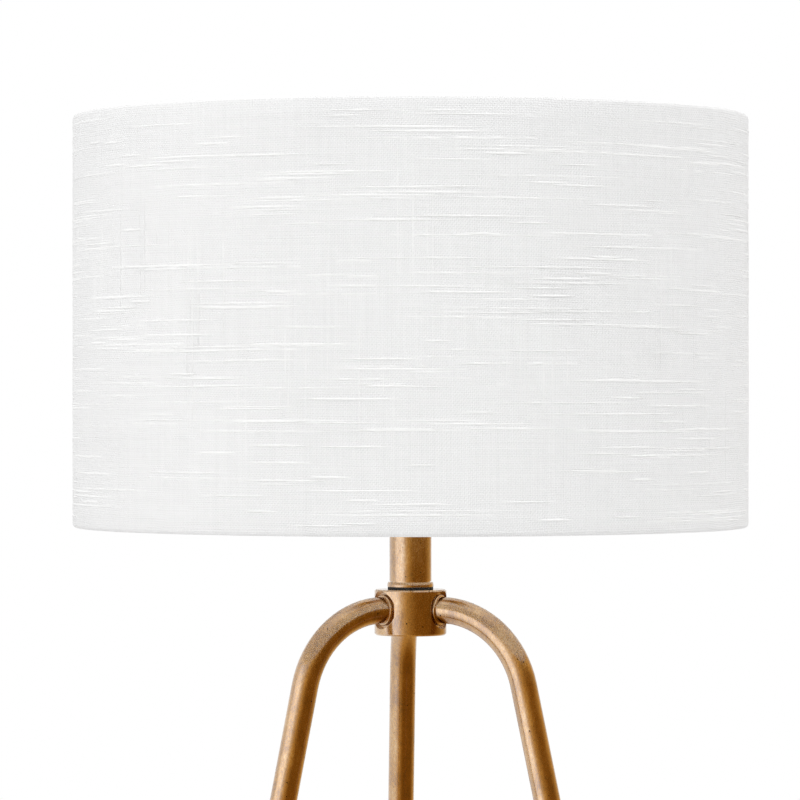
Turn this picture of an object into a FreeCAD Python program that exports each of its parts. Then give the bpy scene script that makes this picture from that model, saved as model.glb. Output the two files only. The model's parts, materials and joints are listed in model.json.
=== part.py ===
import FreeCAD, Part
import math
import os

import Sketcher

# Tripod table lamp with a drum shade, in millimetres. The origin is on the table, under the
# lamp's own axis. +Z is up, the front is -Y and the rear leg stands on the +Y side.

os.makedirs("parts", exist_ok=True)
doc = FreeCAD.newDocument("TripodTableLamp")

sizes = {
    # legs and feet
    "legDia": 14,
    "legWall": 1.2,
    "legStraight": 18,
    "legBend": 49,
    "legSplay": 12.7,
    "legCut": 5,
    "legAxisUp": 13.4,
    "legRoot": 9,
    "legFirst": 90,
    "lipDia": 16.4,
    "lipThick": 1.6,
    "lipRound": 0.7,
    "footDia": 15.6,
    "footStem": 12,
    "footRound": 1.2,
    # cord inlet in the rear leg
    "inletUp": 34,
    "grommetDia": 10.4,
    "grommetNeck": 8,
    "grommetBore": 6.4,
    "grommetProud": 1.8,
    "grommetRound": 0.8,
    # hub
    "hubBase": 358,
    "hubDia": 38,
    "hubHigh": 24,
    "hubEdge": 0.8,
    "spotDia": 20,
    "spotFlat": 16.5,
    "cavityDia": 20,
    "cavityDeep": 14,
    "passageDia": 8,
    "plugThick": 2.5,
    "plugInset": 0.5,
    # neck and the rod that holds it
    "rodDia": 9.7,
    "rodBore": 6.6,
    "rodSeat": 9,
    "rodChamfer": 0.6,
    "washerDia": 24,
    "washerThick": 1.4,
    "beadDia": 24.4,
    "beadTopDia": 23.6,
    "beadHigh": 3,
    "beadStep": 0.5,
    "beadFlare": 4,
    "neckDia": 22.2,
    "neckWall": 1.5,
    "neckLong": 34.6,
    "neckCapDia": 23.4,
    "neckCapThick": 2,
    "spigotHigh": 2.2,
    # saddle and nut
    "saddleWide": 13,
    "saddleThick": 1.6,
    "saddleHalf": 27,
    "saddleBend": 1.6,
    "shoulderUp": 8,
    "tabWide": 3.4,
    "tabHigh": 9,
    "nutAcross": 14,
    "nutThick": 4,
    # socket
    "capNeckDia": 13,
    "capNeckHigh": 8,
    "capDia": 34.6,
    "capShoulder": 20,
    "capHigh": 25,
    "capWall": 0.7,
    "capDome": 14,
    "shellBase": 20.6,
    "shellHigh": 41.4,
    "shellWall": 0.6,
    "shellBead": 1.1,
    "liningWall": 0.7,
    "coreDia": 27,
    "coreBossDia": 12,
    "coreBase": 24,
    "coreHigh": 20,
    "recessDeep": 3,
    "recessWide": 9,
    "holderDia": 28,
    "holderWall": 0.4,
    "holderHigh": 16,
    "holderFlange": 4,
    "leafWide": 5,
    "leafThick": 0.5,
    "leafRise": 2,
    "leafLong": 7,
    "screwHeadDia": 6.2,
    "screwHeadHigh": 2,
    "setScrewDia": 3,
    "setScrewHeadDia": 5,
    "setScrewHeadHigh": 1.8,
    # switch
    "switchUp": 33,
    "shaftDia": 4,
    "shaftIn": 6,
    "shaftOut": 27,
    "slotWide": 7,
    "keyStart": 19,
    "keyBossDia": 8,
    "keyBossLong": 8,
    "keyDia": 17,
    "keyThick": 3.6,
    "keyRound": 1,
    # bulb
    "bulbDia": 60,
    "bulbHigh": 108,
    "bulbWall": 1,
    "bulbNeckDia": 25.6,
    "bulbFlare": 20,
    "bulbSlope": 40,
    "bulbBaseDia": 26.2,
    "bulbBaseHigh": 25,
    "bulbBaseWall": 0.4,
    "bulbInsulatorHigh": 4,
    "bulbInsulatorDia": 18,
    "bulbContactDia": 9.6,
    "bulbContactHigh": 1.4,
    # harp
    "harpWireDia": 4.2,
    "harpHigh": 178,
    "harpStraight": 25,
    "harpKink": 20,
    "harpLean": 30,
    "harpTuck": 14,
    "harpFlat": 8,
    "bracketLong": 15,
    "bracketWide": 9,
    "bracketWall": 1.3,
    "sleeveDia": 8,
    "sleeveLong": 12,
    "sleeveChamfer": 0.8,
    # finial and its stud
    "studDia": 6.35,
    "studLong": 13,
    "seatDia": 17,
    "seatThick": 1.6,
    "rivetDia": 4,
    "rivetDeep": 0.9,
    "finialHigh": 24.4,
    "finialBaseDia": 16,
    "finialBaseThick": 2,
    "finialNeckDia": 9.6,
    "finialBallDia": 14.4,
    "finialBallUp": 13,
    "finialTipDia": 4.6,
    # shade
    "shadeDia": 355.6,
    "shadeHigh": 216,
    "shadeDrop": 22,
    "fabricThick": 0.6,
    "linerThick": 0.5,
    "ringWireDia": 3.2,
    "hemTuck": 70,
    "spiderWasherDia": 26,
    "spiderWasherThick": 1.6,
    "spiderHoleDia": 7.1,
    "armDia": 3.2,
    "armStub": 9,
    "armBend": 8,
    "armSlope": 50,
    "armInset": 1,
    "armEnd": 9.6,
    "armFlat": 0.4,
    # clearances
    "fitClear": 0.05,
    "slipClear": 0.25,
    "slideClear": 0.3,
    "hemClear": 0.15,
    "glueThick": 0.1,
}

sheet = doc.addObject("Spreadsheet::Sheet", "Lamp")
for row, (alias, number) in enumerate(sizes.items(), 1):
    sheet.set(f"A{row}", alias)
    sheet.set(f"B{row}", str(number))
    sheet.setAlias(f"B{row}", alias)
doc.recompute()

# Levels above the table: the lamp is a stack, so each level stands on the one below it.
hubTop = "(Lamp.hubBase + Lamp.hubHigh)"
legAxis = "(Lamp.hubBase + Lamp.legAxisUp)"
beadBase = f"({hubTop} + Lamp.washerThick)"
neckBase = f"({beadBase} + Lamp.beadHigh)"
neckTop = f"({neckBase} + Lamp.neckLong)"
saddleBase = f"({neckTop} + Lamp.neckCapThick)"
nutBase = f"({saddleBase} + Lamp.saddleThick)"
socketBase = f"({nutBase} + Lamp.nutThick)"
harpBase = f"({saddleBase} + Lamp.shoulderUp)"
seatLevel = f"({harpBase} + Lamp.harpHigh)"
shadeTop = f"({seatLevel} + Lamp.shadeDrop)"
shadeBase = f"({shadeTop} - Lamp.shadeHigh)"
finialBase = f"({seatLevel} + Lamp.spiderWasherThick)"
bulbSeat = f"({socketBase} + Lamp.coreBase + Lamp.coreHigh + Lamp.leafRise)"
shaftLevel = f"({socketBase} + Lamp.switchUp)"

# Where a leg's centre line leaves its bend and where it ends, across and up.
bendEndX = "(Lamp.legStraight + Lamp.legBend * cos(Lamp.legSplay))"
bendEndZ = f"({legAxis} - Lamp.legBend * (1 - sin(Lamp.legSplay)))"
footX = f"({bendEndX} + ({bendEndZ} - Lamp.legCut) * tan(Lamp.legSplay))"

# Widths that more than one piece uses.
rodSlip = "(Lamp.rodDia / 2 + Lamp.slipClear)"
rodThread = "(Lamp.rodDia / 2 + Lamp.fitClear)"
neckInside = "(Lamp.neckDia / 2 - Lamp.neckWall - Lamp.fitClear)"
shellOutside = "(Lamp.capDia / 2 - Lamp.capWall - Lamp.fitClear)"
liningOutside = f"({shellOutside} - Lamp.shellWall)"
ringCentre = "(Lamp.shadeDia / 2 - Lamp.fabricThick - Lamp.ringWireDia / 2)"
hemOutside = "(Lamp.ringWireDia / 2 + Lamp.fabricThick)"


def value(expression):
    return float(sheet.evalExpression(expression))


def plane(body, role):
    return next(item for item in body.Origin.OriginFeatures if item.Role == role)


def newBody(name, height="0", azimuth="0"):
    """A sub-part, lifted to its level and turned about the lamp's axis."""
    body = doc.addObject("PartDesign::Body", name)
    body.Label = name
    upright = FreeCAD.Vector(0, 0, 1)
    body.Placement = FreeCAD.Placement(FreeCAD.Vector(), FreeCAD.Rotation(upright, 0))
    body.setExpression("Placement.Base.z", height)
    body.setExpression("Placement.Rotation.Angle", azimuth)
    return body


def newSketch(body, role, offset="0"):
    sketch = body.newObject("Sketcher::SketchObject", f"{body.Label}_sketch")
    sketch.AttachmentSupport = [(plane(body, role), "")]
    sketch.MapMode = "FlatFace"
    sketch.setExpression("AttachmentOffset.Base.z", offset)
    return sketch


def bind(sketch, kind, target, expression):
    number = sketch.addConstraint(Sketcher.Constraint(kind, *target, value(expression)))
    sketch.setExpression(f"Constraints[{number}]", expression)


def arcBetween(start, end, radius, turn):
    """The short arc from start to end; turn is 1 to the left and -1 to the right."""
    chord = end - start
    rise = math.sqrt(max(radius**2 - chord.Length**2 / 4, 0))
    left = FreeCAD.Vector(-chord.y, chord.x, 0).normalize()
    centre = (start + end) / 2 + left * rise * turn
    first, last = (start, end) if turn > 0 else (end, start)
    angles = [math.atan2(point.y - centre.y, point.x - centre.x) for point in (first, last)]
    circle = Part.Circle(centre, FreeCAD.Vector(0, 0, 1), radius)
    return Part.ArcOfCircle(circle, *angles)


def outline(sketch, corners, closed=True):
    """Lines and arcs through the corners, each tied to the sheet.

    A corner is (across, up), or (across, up, side, radius) where an arc leads to it
    from the corner before, on the "left" or to the "right" of the way there.
    """
    points = [FreeCAD.Vector(value(corner[0]), value(corner[1]), 0) for corner in corners]
    ends = []
    for index in range(0 if closed else 1, len(corners)):
        start, end, arc = points[index - 1], points[index], corners[index][2:]
        if arc:
            turn = 1 if arc[0] == "left" else -1
            edge = sketch.addGeometry(arcBetween(start, end, value(arc[1]), turn))
            ends.append((edge, 1, 2) if turn > 0 else (edge, 2, 1))
        else:
            edge = sketch.addGeometry(Part.LineSegment(start, end))
            ends.append((edge, 1, 2))
    for before, after in zip(ends, ends[1:] + (ends[:1] if closed else [])):
        sketch.addConstraint(Sketcher.Constraint("Coincident", before[0], before[2], after[0], after[1]))
    held = [(edge, finish) for edge, _, finish in ends]
    if not closed:
        held.insert(0, (ends[0][0], ends[0][1]))
    for (edge, end), corner in zip(held, corners):
        bind(sketch, "DistanceX", (-1, 1, edge, end), corner[0])
        bind(sketch, "DistanceY", (-1, 1, edge, end), corner[1])
        if corner[2:]:
            bind(sketch, "Radius", (edge,), corner[3])
    return sketch


def circle(sketch, diameter, across="0", up="0"):
    middle = FreeCAD.Vector(value(across), value(up), 0)
    edge = sketch.addGeometry(Part.Circle(middle, FreeCAD.Vector(0, 0, 1), value(diameter) / 2))
    bind(sketch, "DistanceX", (-1, 1, edge, 3), across)
    bind(sketch, "DistanceY", (-1, 1, edge, 3), up)
    bind(sketch, "Diameter", (edge,), diameter)
    return sketch


def axisLine(sketch, start, end):
    """A construction line to turn a profile about; it comes first in its sketch."""
    points = [FreeCAD.Vector(value(across), value(up), 0) for across, up in (start, end)]
    edge = sketch.addGeometry(Part.LineSegment(*points), True)
    for vertex, (across, up) in ((1, start), (2, end)):
        bind(sketch, "DistanceX", (-1, 1, edge, vertex), across)
        bind(sketch, "DistanceY", (-1, 1, edge, vertex), up)
    return sketch


def finish(body, feature, cuts=False):
    """Builds a new feature and makes sure that a cut takes something away."""
    before = body.Shape.Volume if cuts else 0
    body.Tip = feature
    doc.recompute()
    if cuts and before - body.Shape.Volume < 1e-3:
        raise RuntimeError(f"{body.Label}: {feature.Label} cuts nothing")
    return feature


def revolve(body, sketch, axis="V_Axis", cuts=False):
    kind = "Groove" if cuts else "Revolution"
    feature = body.newObject(f"PartDesign::{kind}", f"{body.Label}_{kind.lower()}")
    feature.Profile = sketch
    feature.ReferenceAxis = (sketch, [axis])
    feature.Angle = 360
    return finish(body, feature, cuts)


def extrude(body, sketch, length, cuts=False, middle=False, reverse=False):
    kind = "Pocket" if cuts else "Pad"
    feature = body.newObject(f"PartDesign::{kind}", f"{body.Label}_{kind.lower()}")
    feature.Profile = sketch
    feature.setExpression("Length", length)
    feature.SideType = "Symmetric" if middle else "One side"
    feature.Reversed = reverse
    return finish(body, feature, cuts)


def around(body, features, copies):
    """Repeats features about the body's upright axis."""
    pattern = body.newObject("PartDesign::PolarPattern", f"{body.Label}_pattern")
    pattern.Originals = features
    pattern.Axis = (plane(body, "Z_Axis"), [""])
    pattern.Angle = 360
    pattern.Occurrences = copies
    return finish(body, pattern)


def sweep(body, section, path):
    pipe = body.newObject("PartDesign::AdditivePipe", f"{body.Label}_pipe")
    pipe.Profile = section
    doc.recompute()
    edges = [f"Edge{number}" for number in range(1, len(path.Shape.Edges) + 1)]
    pipe.Spine = (path, edges)
    return finish(body, pipe)


def roundEdges(body, radius, wanted, kind="Fillet"):
    """Fillets or chamfers the edges for which wanted(edge) is true."""
    base = body.Tip
    names = [f"Edge{number}" for number, edge in enumerate(base.Shape.Edges, 1) if wanted(edge)]
    if not names:
        raise RuntimeError(f"{body.Label}: no edge to round")
    feature = body.newObject(f"PartDesign::{kind}", f"{body.Label}_{kind.lower()}")
    feature.Base = (base, names)
    feature.setExpression("Radius" if kind == "Fillet" else "Size", radius)
    return finish(body, feature)


def isRing(edge, radius, level=None):
    """True for a whole circle of this radius, and at this level where one is given."""
    if not isinstance(edge.Curve, Part.Circle) or abs(edge.Curve.Radius - value(radius)) > 1e-4:
        return False
    return level is None or abs(edge.BoundBox.Center.z - value(level)) < 1e-4


def turned(name, corners, height="0", azimuth="0"):
    """A body turned about the upright axis from a profile of (radius, up) corners."""
    body = newBody(name, height, azimuth)
    revolve(body, outline(newSketch(body, "XZ_Plane"), corners))
    return body


def ring(name, inside, outside, thick, height):
    corners = [(inside, "0"), (outside, "0"), (outside, thick), (inside, thick)]
    return turned(name, corners, height)


def onLeg(along, across):
    """A point beside a leg's cut end: up along its centre line, and outward from it."""
    shiftX = f"-({along}) * sin(Lamp.legSplay) + ({across}) * cos(Lamp.legSplay)"
    shiftZ = f"({along}) * cos(Lamp.legSplay) + ({across}) * sin(Lamp.legSplay)"
    return f"({footX} + {shiftX})", f"(Lamp.legCut + {shiftZ})"


def makeHub():
    bore = rodThread
    floor = "Lamp.hubHigh - Lamp.rodSeat"
    hub = turned("hub", [
        (bore, "Lamp.hubHigh"),
        (bore, floor),
        ("Lamp.passageDia / 2", floor),
        ("Lamp.passageDia / 2", "Lamp.cavityDeep"),
        ("Lamp.cavityDia / 2", "Lamp.cavityDeep"),
        ("Lamp.cavityDia / 2", "0"),
        ("Lamp.hubDia / 2", "0"),
        ("Lamp.hubDia / 2", "Lamp.hubHigh"),
    ], "Lamp.hubBase", "Lamp.legFirst")
    roundEdges(hub, "Lamp.hubEdge", lambda edge: isRing(edge, "Lamp.hubDia / 2"), "Chamfer")
    spot = circle(newSketch(hub, "YZ_Plane", "Lamp.spotFlat"), "Lamp.spotDia", "0", "Lamp.legAxisUp")
    spotFace = extrude(hub, spot, "Lamp.hubDia / 2", cuts=True, reverse=True)
    socket = newSketch(hub, "YZ_Plane", "Lamp.legRoot")
    circle(socket, "Lamp.legDia + 2 * Lamp.fitClear", "0", "Lamp.legAxisUp")
    legBore = extrude(hub, socket, "Lamp.hubDia / 2", cuts=True, reverse=True)
    around(hub, [spotFace, legBore], 3)


def makeHubPlug():
    radius = "Lamp.cavityDia / 2 - Lamp.fitClear"
    turned("hub_plug", [
        ("0", "0"),
        (radius, "0"),
        (radius, "Lamp.plugThick"),
        ("0", "Lamp.plugThick"),
    ], "Lamp.hubBase + Lamp.plugInset")


def makeLeg(name, azimuth):
    leg = newBody(name, "0", azimuth)
    path = outline(newSketch(leg, "XZ_Plane"), [
        ("Lamp.legRoot", legAxis),
        ("Lamp.legStraight", legAxis),
        (bendEndX, bendEndZ, "right", "Lamp.legBend"),
        (footX, "Lamp.legCut"),
    ], closed=False)
    section = newSketch(leg, "YZ_Plane", "Lamp.legRoot")
    circle(section, "Lamp.legDia", "0", legAxis)
    circle(section, "Lamp.legDia - 2 * Lamp.legWall", "0", legAxis)
    sweep(leg, section, path)
    lip = newSketch(leg, "YZ_Plane", "Lamp.spotFlat")
    circle(lip, "Lamp.lipDia", "0", legAxis)
    circle(lip, "Lamp.legDia - Lamp.legWall", "0", legAxis)
    extrude(leg, lip, "Lamp.lipThick")
    roundEdges(leg, "Lamp.lipRound", lambda edge: isRing(edge, "Lamp.lipDia / 2"))
    return leg


def cutInlet(leg):
    """The hole for the cord, square to the leg, through its outer wall."""
    along = "Lamp.inletUp"
    hole = newSketch(leg, "XZ_Plane")
    axisLine(hole, onLeg(along, "0"), onLeg(along, "Lamp.legDia"))
    edge = f"{along} + Lamp.grommetNeck / 2 + Lamp.fitClear"
    outline(hole, [
        onLeg(along, "0"),
        onLeg(along, "Lamp.legDia"),
        onLeg(edge, "Lamp.legDia"),
        onLeg(edge, "0"),
    ])
    revolve(leg, hole, "Axis0", cuts=True)


def makeGrommet(azimuth):
    """A bush whose flange is hollowed to sit on the round of the leg."""
    grommet = newBody("cord_grommet", "0", azimuth)
    outside = "Lamp.legDia / 2 + Lamp.grommetProud"
    inside = "Lamp.legDia / 2 - Lamp.legWall"

    def section(sketch, low, high, radius):
        axisLine(sketch, onLeg("Lamp.inletUp", low), onLeg("Lamp.inletUp", high))
        edge = f"Lamp.inletUp + {radius}"
        return outline(sketch, [
            onLeg("Lamp.inletUp", low),
            onLeg("Lamp.inletUp", high),
            onLeg(edge, high),
            onLeg(edge, low),
        ])

    flange = section(newSketch(grommet, "XZ_Plane"), inside, outside, "Lamp.grommetDia / 2")
    revolve(grommet, flange, "Axis0")
    roundEdges(grommet, "Lamp.grommetRound", lambda edge: isOuterRim(edge, outside))
    saddle = newSketch(grommet, "XZ_Plane")
    low = "Lamp.inletUp - Lamp.legDia"
    high = "Lamp.inletUp + Lamp.legDia"
    axisLine(saddle, onLeg(low, "0"), onLeg(high, "0"))
    outline(saddle, [
        onLeg(low, "0"),
        onLeg(high, "0"),
        onLeg(high, "Lamp.legDia / 2"),
        onLeg(low, "Lamp.legDia / 2"),
    ])
    revolve(grommet, saddle, "Axis0", cuts=True)
    neck = section(newSketch(grommet, "XZ_Plane"), inside, outside, "Lamp.grommetNeck / 2")
    revolve(grommet, neck, "Axis0")
    through = "Lamp.legDia"
    bore = section(newSketch(grommet, "XZ_Plane"), "0", through, "Lamp.grommetBore / 2")
    revolve(grommet, bore, "Axis0", cuts=True)


def isOuterRim(edge, across):
    """True for the grommet's rim that faces away from the leg."""
    if not isinstance(edge.Curve, Part.Circle):
        return False
    middle = [value(part) for part in onLeg("Lamp.inletUp", across)]
    return math.dist(middle, (edge.Curve.Center.x, edge.Curve.Center.z)) < 1e-4


def makeFootCap(name, azimuth):
    """A turned rubber tip, coaxial with its leg and cut flat by the table."""
    cap = newBody(name, "0", azimuth)
    profile = newSketch(cap, "XZ_Plane")
    stem = "Lamp.legDia / 2 - Lamp.legWall - Lamp.fitClear"
    edge = "Lamp.footDia / 2"
    deep = "-2 * Lamp.legCut"
    axisLine(profile, onLeg("Lamp.footStem", "0"), onLeg(deep, "0"))
    outline(profile, [
        onLeg("Lamp.footStem", "0"),
        onLeg(deep, "0"),
        onLeg(deep, edge),
        onLeg("-Lamp.footRound", edge),
        (*onLeg("0", f"{edge} - Lamp.footRound"), "left", "Lamp.footRound"),
        onLeg("0", stem),
        onLeg("Lamp.footStem - 1", stem),
        onLeg("Lamp.footStem", f"{stem} - 1"),
    ])
    revolve(cap, profile, "Axis0")
    below = circle(newSketch(cap, "XY_Plane"), "4 * Lamp.footDia", footX)
    extrude(cap, below, "4 * Lamp.legCut", cuts=True)


def makeNeck():
    ring("neck_washer", rodSlip, "Lamp.washerDia / 2", "Lamp.washerThick", hubTop)
    turned("neck_ring", [
        (rodSlip, "0"),
        ("Lamp.beadDia / 2", "0"),
        ("Lamp.beadTopDia / 2", "Lamp.beadHigh - Lamp.beadStep", "left", "Lamp.beadFlare"),
        ("Lamp.neckDia / 2 - Lamp.beadStep", "Lamp.beadHigh - Lamp.beadStep"),
        ("Lamp.neckDia / 2 - Lamp.beadStep", "Lamp.beadHigh"),
        (neckInside, "Lamp.beadHigh"),
        (neckInside, "Lamp.beadHigh + Lamp.spigotHigh"),
        (rodSlip, "Lamp.beadHigh + Lamp.spigotHigh"),
    ], beadBase)
    ring("neck_tube", "Lamp.neckDia / 2 - Lamp.neckWall", "Lamp.neckDia / 2", "Lamp.neckLong", neckBase)
    turned("neck_cap", [
        (rodSlip, "-Lamp.spigotHigh"),
        (neckInside, "-Lamp.spigotHigh"),
        (neckInside, "0"),
        ("Lamp.neckCapDia / 2", "0"),
        ("Lamp.neckCapDia / 2", "Lamp.neckCapThick"),
        (rodSlip, "Lamp.neckCapThick"),
    ], neckTop)


def makeRod():
    length = f"({socketBase} + Lamp.capNeckHigh - {hubTop} + Lamp.rodSeat)"
    turned("threaded_rod", [
        ("Lamp.rodBore / 2", "0"),
        ("Lamp.rodDia / 2 - Lamp.rodChamfer", "0"),
        ("Lamp.rodDia / 2", "Lamp.rodChamfer"),
        ("Lamp.rodDia / 2", f"{length} - Lamp.rodChamfer"),
        ("Lamp.rodDia / 2 - Lamp.rodChamfer", length),
        ("Lamp.rodBore / 2", length),
    ], f"{hubTop} - Lamp.rodSeat")


def makeSaddle():
    """A bent strap: two ears with shoulders, each with a tab for the harp's foot."""
    saddle = newBody("harp_saddle", saddleBase)
    outer = "Lamp.saddleHalf + Lamp.saddleThick / 2"
    inner = "Lamp.saddleHalf - Lamp.saddleThick / 2"
    bend = "(Lamp.saddleBend + Lamp.saddleThick)"
    top = "Lamp.shoulderUp + Lamp.tabHigh"
    strap = outline(newSketch(saddle, "XZ_Plane"), [
        (f"-({outer})", top),
        (f"-({outer})", bend),
        (f"-({outer}) + {bend}", "0", "left", bend),
        (f"{outer} - {bend}", "0"),
        (outer, bend, "left", bend),
        (outer, top),
        (inner, top),
        (inner, bend),
        (f"{inner} - Lamp.saddleBend", "Lamp.saddleThick", "right", "Lamp.saddleBend"),
        (f"-({inner}) + Lamp.saddleBend", "Lamp.saddleThick"),
        (f"-({inner})", bend, "right", "Lamp.saddleBend"),
        (f"-({inner})", top),
    ])
    extrude(saddle, strap, "Lamp.saddleWide", middle=True)
    through = "4 * Lamp.saddleHalf"
    for side in ("", "-"):
        shoulder = outline(newSketch(saddle, "YZ_Plane"), [
            (f"{side}Lamp.tabWide / 2", "Lamp.shoulderUp"),
            (f"{side}Lamp.saddleWide", "Lamp.shoulderUp"),
            (f"{side}Lamp.saddleWide", f"{top} + Lamp.tabHigh"),
            (f"{side}Lamp.tabWide / 2", f"{top} + Lamp.tabHigh"),
        ])
        extrude(saddle, shoulder, through, cuts=True, middle=True)
    hole = circle(newSketch(saddle, "XY_Plane"), f"2 * {rodSlip}")
    extrude(saddle, hole, "4 * Lamp.saddleThick", cuts=True, middle=True)


def makeSaddleNut():
    prism = doc.addObject("Part::Prism", "nutBlank")
    prism.Polygon = 6
    prism.setExpression("Circumradius", "Lamp.nutAcross / 2 / cos(30)")
    prism.setExpression("Height", "Lamp.nutThick")
    hole = doc.addObject("Part::Cylinder", "nutHole")
    hole.setExpression("Radius", rodThread)
    hole.setExpression("Height", "Lamp.nutThick")
    nut = doc.addObject("Part::Cut", "saddle_nut")
    nut.Label = "saddle_nut"
    nut.Base = prism
    nut.Tool = hole
    nut.setExpression("Placement.Base.z", nutBase)
    doc.recompute()


def makeSocketCap():
    floor = "(Lamp.capNeckHigh + Lamp.capWall)"
    inner = "(Lamp.capDia / 2 - Lamp.capWall)"
    cap = turned("socket_cap", [
        (rodThread, "0"),
        ("Lamp.capNeckDia / 2", "0"),
        ("Lamp.capNeckDia / 2", "Lamp.capNeckHigh"),
        ("Lamp.capDia / 2", "Lamp.capShoulder", "left", "Lamp.capDome"),
        ("Lamp.capDia / 2", "Lamp.capHigh"),
        (inner, "Lamp.capHigh"),
        (inner, "Lamp.capShoulder"),
        ("Lamp.capNeckDia / 2", floor, "right", "Lamp.capDome - Lamp.capWall"),
        (rodThread, floor),
    ], socketBase, "90")
    hole = newSketch(cap, "YZ_Plane")
    circle(hole, "Lamp.setScrewDia + 2 * Lamp.fitClear", "0", "Lamp.capNeckHigh / 2")
    extrude(cap, hole, "Lamp.capNeckDia", cuts=True, reverse=True)


def makeSetScrew():
    screw = newBody("socket_set_screw", f"{socketBase} + Lamp.capNeckHigh / 2", "90")
    head = "Lamp.capNeckDia / 2 + Lamp.setScrewHeadHigh"
    revolve(screw, outline(newSketch(screw, "XZ_Plane"), [
        ("Lamp.rodDia / 2", "0"),
        (head, "0"),
        (head, "Lamp.setScrewHeadDia / 2"),
        ("Lamp.capNeckDia / 2", "Lamp.setScrewHeadDia / 2"),
        ("Lamp.capNeckDia / 2", "Lamp.setScrewDia / 2"),
        ("Lamp.rodDia / 2", "Lamp.setScrewDia / 2"),
    ]), "H_Axis")


def cutSwitchSlot(body, low):
    """An open slot in the front of a sleeve, from its lower edge up round the switch shaft."""
    half = "Lamp.slotWide / 2"
    slot = outline(newSketch(body, "YZ_Plane"), [
        (f"-{half}", low),
        (half, low),
        (half, "Lamp.switchUp"),
        ("0", f"Lamp.switchUp + {half}", "left", half),
        (f"-{half}", "Lamp.switchUp", "left", half),
    ])
    extrude(body, slot, "Lamp.capDia", cuts=True, reverse=True)


def makeSocketShell():
    top = "(Lamp.shellBase + Lamp.shellHigh)"
    outside = shellOutside
    inside = liningOutside
    bead = "Lamp.shellBead"
    shell = turned("socket_shell", [
        (inside, "Lamp.shellBase"),
        (outside, "Lamp.shellBase"),
        (outside, f"{top} - 2 * {bead}"),
        (f"{outside} + {bead}", f"{top} - {bead}", "left", bead),
        (outside, top, "left", bead),
        (inside, top),
    ], socketBase, "-90")
    cutSwitchSlot(shell, "Lamp.shellBase - 1")


def makeSocketLining():
    top = "Lamp.shellBase + Lamp.shellHigh - 2 * Lamp.shellBead"
    inside = f"{liningOutside} - Lamp.liningWall"
    lining = turned("socket_insulator", [
        (inside, "Lamp.shellBase"),
        (liningOutside, "Lamp.shellBase"),
        (liningOutside, top),
        (inside, top),
    ], socketBase, "-90")
    cutSwitchSlot(lining, "Lamp.shellBase - 1")


def makeSocketCore():
    """The moulded body that carries the switch, the terminals and the lamp holder."""
    floor = "Lamp.capNeckHigh + Lamp.capWall"
    top = "Lamp.coreBase + Lamp.coreHigh"
    core = turned("socket_core", [
        ("0", floor),
        ("Lamp.coreBossDia / 2", floor),
        ("Lamp.coreBossDia / 2", "Lamp.coreBase"),
        ("Lamp.coreDia / 2", "Lamp.coreBase"),
        ("Lamp.coreDia / 2", top),
        ("0", top),
    ], socketBase, "-90")
    bore = circle(newSketch(core, "YZ_Plane", "Lamp.shaftIn"), shaftHole, "0", "Lamp.switchUp")
    extrude(core, bore, "Lamp.coreDia", cuts=True, reverse=True)
    low = "Lamp.switchUp - Lamp.recessWide / 2"
    high = "Lamp.switchUp + Lamp.recessWide / 2"
    recess = outline(newSketch(core, "XZ_Plane", "Lamp.coreDia / 2 - Lamp.recessDeep"), [
        ("-Lamp.recessWide / 2", low),
        ("Lamp.recessWide / 2", low),
        ("Lamp.recessWide / 2", high),
        ("-Lamp.recessWide / 2", high),
    ])
    first = extrude(core, recess, "Lamp.coreDia", cuts=True, reverse=True)
    around(core, [first], 2)


def makeLampHolder():
    top = "Lamp.coreBase + Lamp.coreHigh"
    outside = "Lamp.holderDia / 2"
    inside = "Lamp.holderDia / 2 - Lamp.holderWall"
    turned("screw_shell", [
        (f"{inside} - Lamp.holderFlange", "0"),
        (outside, "0"),
        (outside, "Lamp.holderHigh"),
        (inside, "Lamp.holderHigh"),
        (inside, "Lamp.holderWall"),
        (f"{inside} - Lamp.holderFlange", "Lamp.holderWall"),
    ], f"{socketBase} + {top}")
    leaf = newBody("centre_contact", f"{socketBase} + {top}")
    flat = "Lamp.leafLong / 3"
    profile = outline(newSketch(leaf, "XZ_Plane"), [
        ("-Lamp.leafLong", "0"),
        (f"-Lamp.leafLong + {flat}", "0"),
        (f"-{flat}", "Lamp.leafRise - Lamp.leafThick"),
        (flat, "Lamp.leafRise - Lamp.leafThick"),
        (flat, "Lamp.leafRise"),
        (f"-{flat} - Lamp.leafThick / 2", "Lamp.leafRise"),
        (f"-Lamp.leafLong + {flat} - Lamp.leafThick / 2", "Lamp.leafThick"),
        ("-Lamp.leafLong", "Lamp.leafThick"),
    ])
    extrude(leaf, profile, "Lamp.leafWide", middle=True)


def makeTerminalScrews():
    """Two alike, one in each side recess of the core."""
    screws = newBody("terminal_screws", shaftLevel)
    seat = "(Lamp.coreDia / 2 - Lamp.recessDeep)"
    first = revolve(screws, outline(newSketch(screws, "XZ_Plane"), [
        (seat, "0"),
        (f"{seat} + Lamp.screwHeadHigh", "0"),
        (f"{seat} + Lamp.screwHeadHigh", "Lamp.screwHeadDia / 2"),
        (seat, "Lamp.screwHeadDia / 2"),
    ]), "H_Axis")
    around(screws, [first], 2)


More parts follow.
